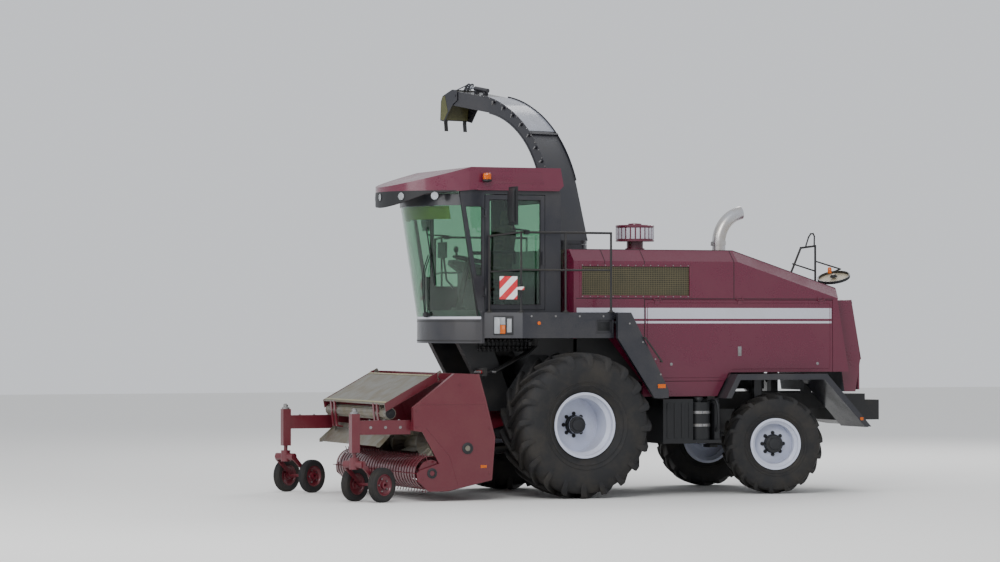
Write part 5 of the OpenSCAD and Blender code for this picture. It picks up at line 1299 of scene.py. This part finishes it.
# %% Caster posts
caps = bmesh.new()
cap = [(0.024, 1.06), (0.05, 1.066), (0.05, 1.084), (0.03, 1.092), (0.03, 1.12), (0.018, 1.132), (0, 1.134)]
add_turned(caps, cap, "Z", (CASTER_PIVOT[0], CASTER_PIVOT[1], 0), 32)
for x in (2.36, 2.55, 2.74):
    add_turned(caps, bolt_head(0.985, 0.02, 0.012, 0.0025, 0.011), "Z", (x, CASTER_PIVOT[1], 0), 6)
    add_turned(caps, bolt_head(1.35, 0.02, 0.012, 0.0025, 0.011), centre=(x, 0, 0.9), steps=6)
mirrored(caps)
piece("caster_post_caps", caps, "header", BOLT)

# %% Hose ends
HOSE_PLACES = [(0, 0.61 + 0.045 * i, 1.55) for i in range(4)]
fittings, dust_rings = bmesh.new(), bmesh.new()
for at in HOSE_PLACES:
    add_turned(fittings, [(0.0125, 0.875), (0.0165, 0.88), (0.0165, 0.925), (0.0125, 0.93)], "X", at, 16)
    add_turned(fittings, [(0, 1.06), (0.017, 1.06), (0.017, 1.09), (0.012, 1.092), (0.012, 1.11), (0, 1.111)],
               "X", at, 12)
    add_turned(dust_rings, [(0.012, 1.066), (0.021, 1.066), (0.021, 1.078), (0.012, 1.078), (0.012, 1.066)],
               "X", at, 20)
piece("hose_fittings", fittings, "chassis", BOLT)
piece("hose_dust_rings", dust_rings, "chassis", RED_LENS)

# %% [markdown]
# ## Deck, fenders, tanks and mirrors
#
# The walkway round the cab is tread plate: one diamond bar and the repeating tree, once for each way the
# bars lie. Round its edge are latches and bolts, and each rail stands on a round foot. A dark sheet of
# painted shade closes the wheel house behind the fender, where the real machine's dark inside lies in deep
# shade.

# %% Tread plate
DECK_TOP = 2.286
for index, (turn, shift) in enumerate(((0.6, 0.0), (-0.6, 0.03))):
    strip = bmesh.new()
    for k in range(4):
        bar = bmesh.new()
        add_prism(bar, [(-0.012, 0), (-0.009, 0.0018), (0.009, 0.0018), (0.012, 0)], -0.0035, 0.0035)
        bar.transform(Matrix.Translation((shift, 0.975 + shift + 0.105 * k, 0))
                      @ Matrix.Rotation(turn, 4, "Z"))
        join(strip, bar)
    repeated("tread_bars_" + str(index), strip, 17, "chassis", DARK, step=(0.07, 0, 0),
             place=Matrix.Translation((-0.40, 0, DECK_TOP)), both=True)

# %% Latches in their recess
latch = bmesh.new()
add_box(latch, -0.39, -0.23, 1.360, 1.366, 2.06, 2.17)
add_box(latch, -0.36, -0.26, 1.366, 1.372, 2.085, 2.145)
add_turned(latch, [(0, 1.372), (0.012, 1.372), (0.012, 1.377), (0, 1.378)], centre=(-0.31, 0, 2.115),
           steps=20)
soften(latch, 0.003, 50)
mirrored(latch)
piece("deck_latches", latch, "chassis", BLACK)
recess = bmesh.new()
add_tube(recess, pane_loop(rectangle(-0.42, -0.20, 2.031, 2.196), 1.3805, 0.012), 0.004, 8)
mirrored(recess)
piece("recess_edges", recess, "chassis", DARK)

# %% Bolts and rail feet
fender_bolts = bmesh.new()
deck_bolt = [(0, 1.38), (0.014, 1.38), (0.014, 1.3815), (0.009, 1.382), (0.008, 1.387), (0, 1.388)]
for x in (-0.30, 0.02, 0.34, 0.66):
    add_turned(fender_bolts, deck_bolt, centre=(x, 0, 2.24), steps=6)
for x, z in ((-0.60, 2.15), (-0.78, 1.92), (-0.95, 1.71), (-1.02, 1.52)):
    add_turned(fender_bolts, bolt_head(1.5, 0.013, 0.008, 0.002, 0.008), centre=(x, 0, z), steps=6)
mirrored(fender_bolts)
piece("fender_bolts", fender_bolts, "chassis", BOLT)
feet = bmesh.new()
foot = [(0.015, 0), (0.045, 0), (0.045, 0.008), (0.024, 0.012), (0.019, 0.03), (0.015, 0.03), (0.015, 0)]
for x, y in ((-0.41, 1.36), (0.2, 1.36), (0.79, 1.36), (1.04, 0.94)):
    add_turned(feet, [(radius, DECK_TOP + z) for radius, z in foot], "Z", (x, y, 0), 24)
soften(feet, 0.001)
mirrored(feet)
piece("rail_feet", feet, "chassis", FRAME)

# %% Wheel-house painted shade
# A dark sheet of painted shade: it stands for the deep shade and the dark inside of the wheel house.
liner = bmesh.new()
add_prism(liner, [(-0.058, 1.436), (-0.058, 2.02), (-0.44, 2.02), (-0.93, 1.436)], 1.1004, 1.1034)
add_prism(liner, [(-0.46, 2.0), (-0.93, 1.44), (-0.95, 1.25), (-0.98, 1.25), (-0.96, 1.45), (-0.48, 2.02)],
          1.42, 1.4395)
add_box(liner, -0.0196, -0.0165, 0.001, 1.09, 1.5, 2.02)
mirrored(liner)
piece("wheel_house_liner", liner, "chassis", SEAL_AND_SHADE)

# %% [markdown]
# ### Valves under the platform
#
# The hoses end at a bank of valves that hangs under the platform. It is a row of equal slices with two
# solenoids each and ties through them, so one slice and the repeating tree make it.

# %% Valves
VALVE_COUNT = 12
VALVE_PITCH = 0.056
valve = bmesh.new()
add_box(valve, 0, 0.05, 0.33, 0.56, 1.80, 2.0)
add_box(valve, 0.005, 0.045, 0.40, 0.50, 1.995, 2.024)
soften(valve, 0.004)
solenoid = [(0, 0.56), (0.018, 0.56), (0.018, 0.60), (0.021, 0.602), (0.021, 0.655), (0.012, 0.662),
            (0.012, 0.675), (0, 0.676)]
for z in (1.85, 1.94):
    add_turned(valve, solenoid, centre=(0.025, 0, z), steps=20)
repeated("valve_bank", valve, VALVE_COUNT, "chassis", FRAME, step=(VALVE_PITCH, 0, 0),
         place=Matrix.Translation((0.36, 0, 0)))
ties = bmesh.new()
tie = [(0, 0.345), (0.012, 0.345), (0.012, 0.36), (0.008, 0.36), (0.008, 1.026), (0.012, 1.026),
       (0.012, 1.041), (0, 1.041)]
for y, z in rectangle(0.36, 0.53, 1.83, 1.97):
    add_turned(ties, tie, "X", (0, y, z), 6)
piece("valve_ties", ties, "chassis", BOLT)

# %% [markdown]
# ### Straps, caps and ribs of the tanks
#
# Steel straps hold the round reservoir. It and the slim tank behind it have black filler caps, and the
# large tank's side is stiffened by ribs, which are bevelled plates a few millimetres proud of it.

# %% Tanks
ROUND_TANK = (-1.715, 1.12)
SLIM_TANK = (-1.92, 1.16)
straps = bmesh.new()
for z in (0.86, 1.02):
    strap = rectangle(0.1455, 0.149, z, z + 0.035)
    add_turned(straps, strap + strap[:1], "Z", (ROUND_TANK[0], ROUND_TANK[1], 0), 40)
    add_box(straps, -1.73, -1.70, 1.266, 1.28, z + 0.004, z + 0.031)
piece("tank_straps", straps, "chassis", BOLT)
caps = bmesh.new()
cap = [(0, 0), (0.046, 0), (0.046, 0.02), (0.058, 0.02), (0.06, 0.055), (0.05, 0.066), (0, 0.067)]
for (x, y), top in ((SLIM_TANK, 1.146), (ROUND_TANK, 1.162)):
    add_turned(caps, [(radius, top + z) for radius, z in cap], "Z", (x, y, 0), 28)
piece("filler_caps", caps, "chassis", BLACK, 50)
ribs = bmesh.new()
for x in (-1.52, -1.42, -1.32, -1.22):
    add_prism(ribs, rectangle(x - 0.02, x + 0.02, 0.72, 1.16), 1.289, 1.2975)
soften(ribs, 0.006, segments=3)
filler_pipe = [(-1.90, 1.235, 0.80), (-1.905, 1.30, 0.9), (-1.895, 1.29, 1.15), (-1.87, 1.2, 1.20),
               (-1.83, 1.15, 1.19)]
add_tube(ribs, filler_pipe, 0.016, 12, 5)
piece("tank_ribs", ribs, "chassis", BLACK)

# %% [markdown]
# ### Mirrors and the rear marker lamp
#
# A wing mirror is a moulded housing with a glass let into its rear face. Mirror glass is metal with
# almost no roughness, so it reflects the world as real mirrors do. The round rear mirror shows an even
# beige in the photograph, so its dome is plain beige plastic with a painted reflection.

# %% Wing mirrors
MIRROR = metal("silvered_mirror_glass", "#c9ced6", "#a9adb3", 0.04, 0.1, 6.0)
GLASS_THICKNESS = 0.0035
glasses, mirror_housings = bmesh.new(), bmesh.new()
for z0, z1 in ((3.372, 3.62), (3.64, 3.795)):
    loop = pane_loop(rectangle(1.405, 1.595, z0, z1), 0, 0.03)
    front = [glasses.verts.new((0.9342, p.x, p.z)) for p in loop[:-1]]
    rear = [glasses.verts.new((0.9342 - GLASS_THICKNESS, p.x, p.z)) for p in loop[:-1]]
    glasses.faces.new(front)
    glasses.faces.new(rear[::-1])
    bridge(glasses, [front, rear])
    add_tube(mirror_housings, [Vector((0.934, p.x, p.z)) for p in loop], 0.005, 8)
bmesh.ops.recalc_face_normals(glasses, faces=glasses.faces)
shell = [(0.962, 3.37), (0.988, 3.42), (0.996, 3.58), (0.988, 3.75), (0.962, 3.80)]
add_prism(mirror_housings, shell, 1.405, 1.595)
soften(mirror_housings, 0.012, 30, 3)
mirrored(glasses)
mirrored(mirror_housings)
piece("mirror_glass", glasses, "chassis", MIRROR)
piece("mirror_housings", mirror_housings, "chassis", BLACK, 50)

# %% Round rear mirror and marker lamp
tilt = Matrix.Rotation(math.radians(16), 4, "Y") @ Matrix.Rotation(math.radians(-14), 4, "X")
mirror_place = Matrix.Translation((-3.99, 0.42, 2.748)) @ tilt
rim = bmesh.new()
outer_ring = [(0.196, -0.016), (0.212, -0.018), (0.214, 0.0), (0.212, 0.017), (0.2, 0.019), (0.196, 0.016),
              (0.196, -0.016)]
add_turned(rim, outer_ring, "Z", steps=64)
socket = [(0.024, 0.044), (0.032, 0.03), (0.05, 0.016), (0.05, 0.012), (0.024, 0.012), (0.024, 0.044)]
add_turned(rim, socket, "Z", steps=32)
rim.transform(mirror_place)
piece("rear_mirror_rim", rim, "chassis", BLACK, 50)
# The dome's even beige is a painted reflection.
dome = bmesh.new()
dome_face = [(0.0, -0.0195), (0.07, -0.0185), (0.13, -0.0165), (0.19, -0.0135), (0.195, -0.0135),
             (0.195, -0.0128), (0, -0.0128)]
add_turned(dome, dome_face, "Z", steps=64)
dome.transform(mirror_place)
piece("rear_mirror_dome", dome, "chassis", MIRROR_REFLECTION_TAN, 50)
marker = bmesh.new()
add_turned(marker, [(0, 2.80), (0.022, 2.80), (0.026, 2.81), (0.026, 2.86), (0.018, 2.878), (0, 2.884)],
           "Z", (-3.93, 0.42, 0), 24)
piece("rear_marker_lamp", marker, "chassis", ORANGE, 50)

# %% [markdown]
# ## Lamps
#
# A lamp is a dark housing, a bright dished reflector and a clear lens with a little body to it. The work
# lamps under the roof's edge stand in a fan, so each is built round the same axis and turned to its place.

# %% Work lamps
REFLECTOR = metal("aluminised_reflector", "#d9dce0", "#bfc2c6", 0.08, 0.1, 20.0)
HOUSING = [(0.0, 0.9315), (0.0545, 0.9315), (0.0545, 0.965), (0.0505, 0.9675), (0.0475, 0.9655),
           (0.0475, 0.9565), (0.047, 0.9565), (0.022, 0.936), (0.0, 0.936)]
DISH = [(0.010, 0.9368), (0.022, 0.9372), (0.0465, 0.9570), (0.0465, 0.9578), (0.0215, 0.9384),
        (0.010, 0.9384), (0.010, 0.9368)]
LENS = [(0.0, 0.9585), (0.0472, 0.9585), (0.0472, 0.9630), (0.036, 0.9650), (0.0, 0.9668)]
LAMP_ANGLES = (-56, -28, 0, 28, 56)


def fan(profile):
    """One turned form for each work lamp, all in one bmesh."""
    bm = bmesh.new()
    for angle in LAMP_ANGLES:
        lamp = bmesh.new()
        add_turned(lamp, profile, "X", steps=36)
        lamp.transform(Matrix.Translation((VISOR_MIDDLE, 0, 3.72))
                       @ Matrix.Rotation(math.radians(angle), 4, "Z"))
        join(bm, lamp)
    return bm


work = piece("work_lamp_housings", fan(HOUSING), "chassis", BLACK, 40)
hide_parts("lamps")
piece("work_lamp_reflectors", fan(DISH), "chassis", REFLECTOR, 40)
piece("work_lamp_lenses", fan(LENS), "chassis", CLEAR, 40)

# %% [markdown]
# ### Corner lamps, beacons and markers
#
# Each front corner of the platform carries two tall clear lamps, an orange indicator and a small clear
# lamp over it, all on one black base. The corner's face stands at an angle, so the lamps are built flat,
# as blocks with rounded edges, and one matrix turns them to it. Fine upright flutes mark the first lens.
# A beacon has ribs round its orange dome, and small orange markers sit along the machine's side.

# %% Corner lamps
CORNER_FRONT = (1.09, 0.9)
CORNER_SIDE = (0.78, 1.38)
LAMP_FACE = 0.0143
cluster = {"clear": bmesh.new(), "orange": bmesh.new(), "black": bmesh.new()}
corner_place = ((CORNER_FRONT[0] + CORNER_SIDE[0]) / 2, (CORNER_FRONT[1] + CORNER_SIDE[1]) / 2, 2.086)
corner = Matrix.Translation(corner_place) @ Matrix.Rotation(math.radians(32.86), 4, "Z")


def add_lens(bm, y0, y1, z0, z1, depth, edge=0.0045):
    """A block with rounded edges on the corner's face."""
    block = bmesh.new()
    add_box(block, 0.0003, depth, y0, y1, z0, z1)
    soften(block, edge, 35, 3)
    block.transform(corner)
    join(bm, block)


for y0, y1, z0, z1, tint in ((-0.129, -0.047, -0.061, 0.141, "clear"),
                             (-0.041, 0.034, -0.061, 0.045, "orange"),
                             (-0.041, 0.034, 0.049, 0.141, "clear"),
                             (0.062, 0.129, -0.045, 0.125, "clear")):
    add_lens(cluster[tint], y0, y1, z0, z1, LAMP_FACE)
add_lens(cluster["black"], -0.146, 0.146, -0.078, 0.158, 0.0055, 0.002)
flute = bmesh.new()
add_prism(flute, [(0.0138, -0.055), (0.0150, -0.052), (0.0150, 0.132), (0.0138, 0.135)], -0.0022, 0.0022)
flute.transform(Matrix.Translation((0, -0.120, 0)))
repeated("lens_flutes", flute, 10, "chassis", CLEAR, step=(0, 0.008, 0), place=corner,
         both=True)

# %% Beacons
BEACON_PLACE = (1.10, 1.012, 0)
BEACON_RADIUS = 0.0515
base = [(0, 3.893), (0.050, 3.893), (0.058, 3.900), (0.058, 3.918), (0.053, 3.922), (0, 3.922)]
add_turned(cluster["black"], base, "Z", BEACON_PLACE, 40)
dome = [(0, 3.9225), (BEACON_RADIUS, 3.9225), (0.0525, 3.93), (BEACON_RADIUS, 3.975), (0.047, 3.992),
        (0.033, 4.001), (0, 4.003)]
add_turned(cluster["orange"], dome, "Z", BEACON_PLACE, 40)
for k in range(9):
    z = 3.93 + 0.005 * k
    rib = [(BEACON_RADIUS, z), (0.0532, z + 0.0015), (BEACON_RADIUS, z + 0.0035), (BEACON_RADIUS, z)]
    add_turned(cluster["orange"], rib, "Z", BEACON_PLACE, 40)
add_box(cluster["black"], 1.078, 1.122, 0.948, 1.03, 3.889, 3.9)
mirrored(cluster["black"])
piece("beacon_bases", cluster["black"], "chassis", BLACK, 40)
mirrored(cluster["clear"])
piece("corner_lamps", cluster["clear"], "chassis", CLEAR, 40)

# %% Side markers
indicators = bmesh.new()
round_lens = [(0, 1.3803), (0.0215, 1.3803), (0.0215, 1.389), (0.017, 1.3925), (0, 1.3935)]
add_turned(indicators, round_lens, centre=(0.562, 0, 2.154), steps=28)
for x0, x1, y, z0, z1 in ((-1.085, -0.98, 1.5003, 1.35, 1.40), (-3.93, -3.888, 1.3353, 0.918, 0.956)):
    lamp = bmesh.new()
    add_box(lamp, x0, x1, y, y + 0.0097, z0, z1)
    soften(lamp, 0.003, 35, 3)
    join(indicators, lamp)
mirrored(indicators)
piece("side_markers", indicators, "chassis", ORANGE, 40)
mirrored(cluster["orange"])
piece("orange_lamps", cluster["orange"], "chassis", ORANGE, 40)

# %% [markdown]
# ## The studio
#
# Library pictures are taken in a plain studio, so that every part is seen in the same even light. A wide
# pale floor catches the shadow. The world gives soft light from all round, and three large area lamps
# add a key from the front left, a fill from the front and a rim from behind. Large lamps give soft edges
# to shadows and broad highlights to paint.

# %% Floor
FLOOR_HALF = 60
floor_mesh = bpy.data.meshes.new("floor")
corners = [(x, y, 0) for x, y in rectangle(-FLOOR_HALF, FLOOR_HALF, -FLOOR_HALF, FLOOR_HALF)]
floor_mesh.from_pydata(corners, [], [(0, 1, 2, 3)])
floor = bpy.data.objects.new("floor", floor_mesh)
bpy.context.scene.collection.objects.link(floor)
floor_paint = start("pale_studio_floor", Roughness=0.9, Base_Color=linear("#e9e8e5"))[0]
floor_mesh.materials.append(floor_paint)

# %% Sky and lamps
SKY_STRENGTH = 0.95
AIM = Vector((0, 0, 1.8))
world = bpy.data.worlds.new("studio")
bpy.context.scene.world = world
world.use_nodes = True
background = world.node_tree.nodes["Background"]
background.inputs["Color"].default_value = linear("#eef1f6")
background.inputs["Strength"].default_value = SKY_STRENGTH
for name, spot, size, watts in (("key", (9, 14, 12), 7, 1500), ("fill", (16, 4, 6), 8, 600),
                                ("rim", (-10, -10, 12), 8, 1300)):
    lamp = bpy.data.objects.new(name, bpy.data.lights.new(name, "AREA"))
    lamp.data.size = size
    lamp.data.energy = watts
    lamp.location = spot
    lamp.rotation_euler = (AIM - Vector(spot)).to_track_quat("-Z", "Y").to_euler()
    bpy.context.scene.collection.objects.link(lamp)
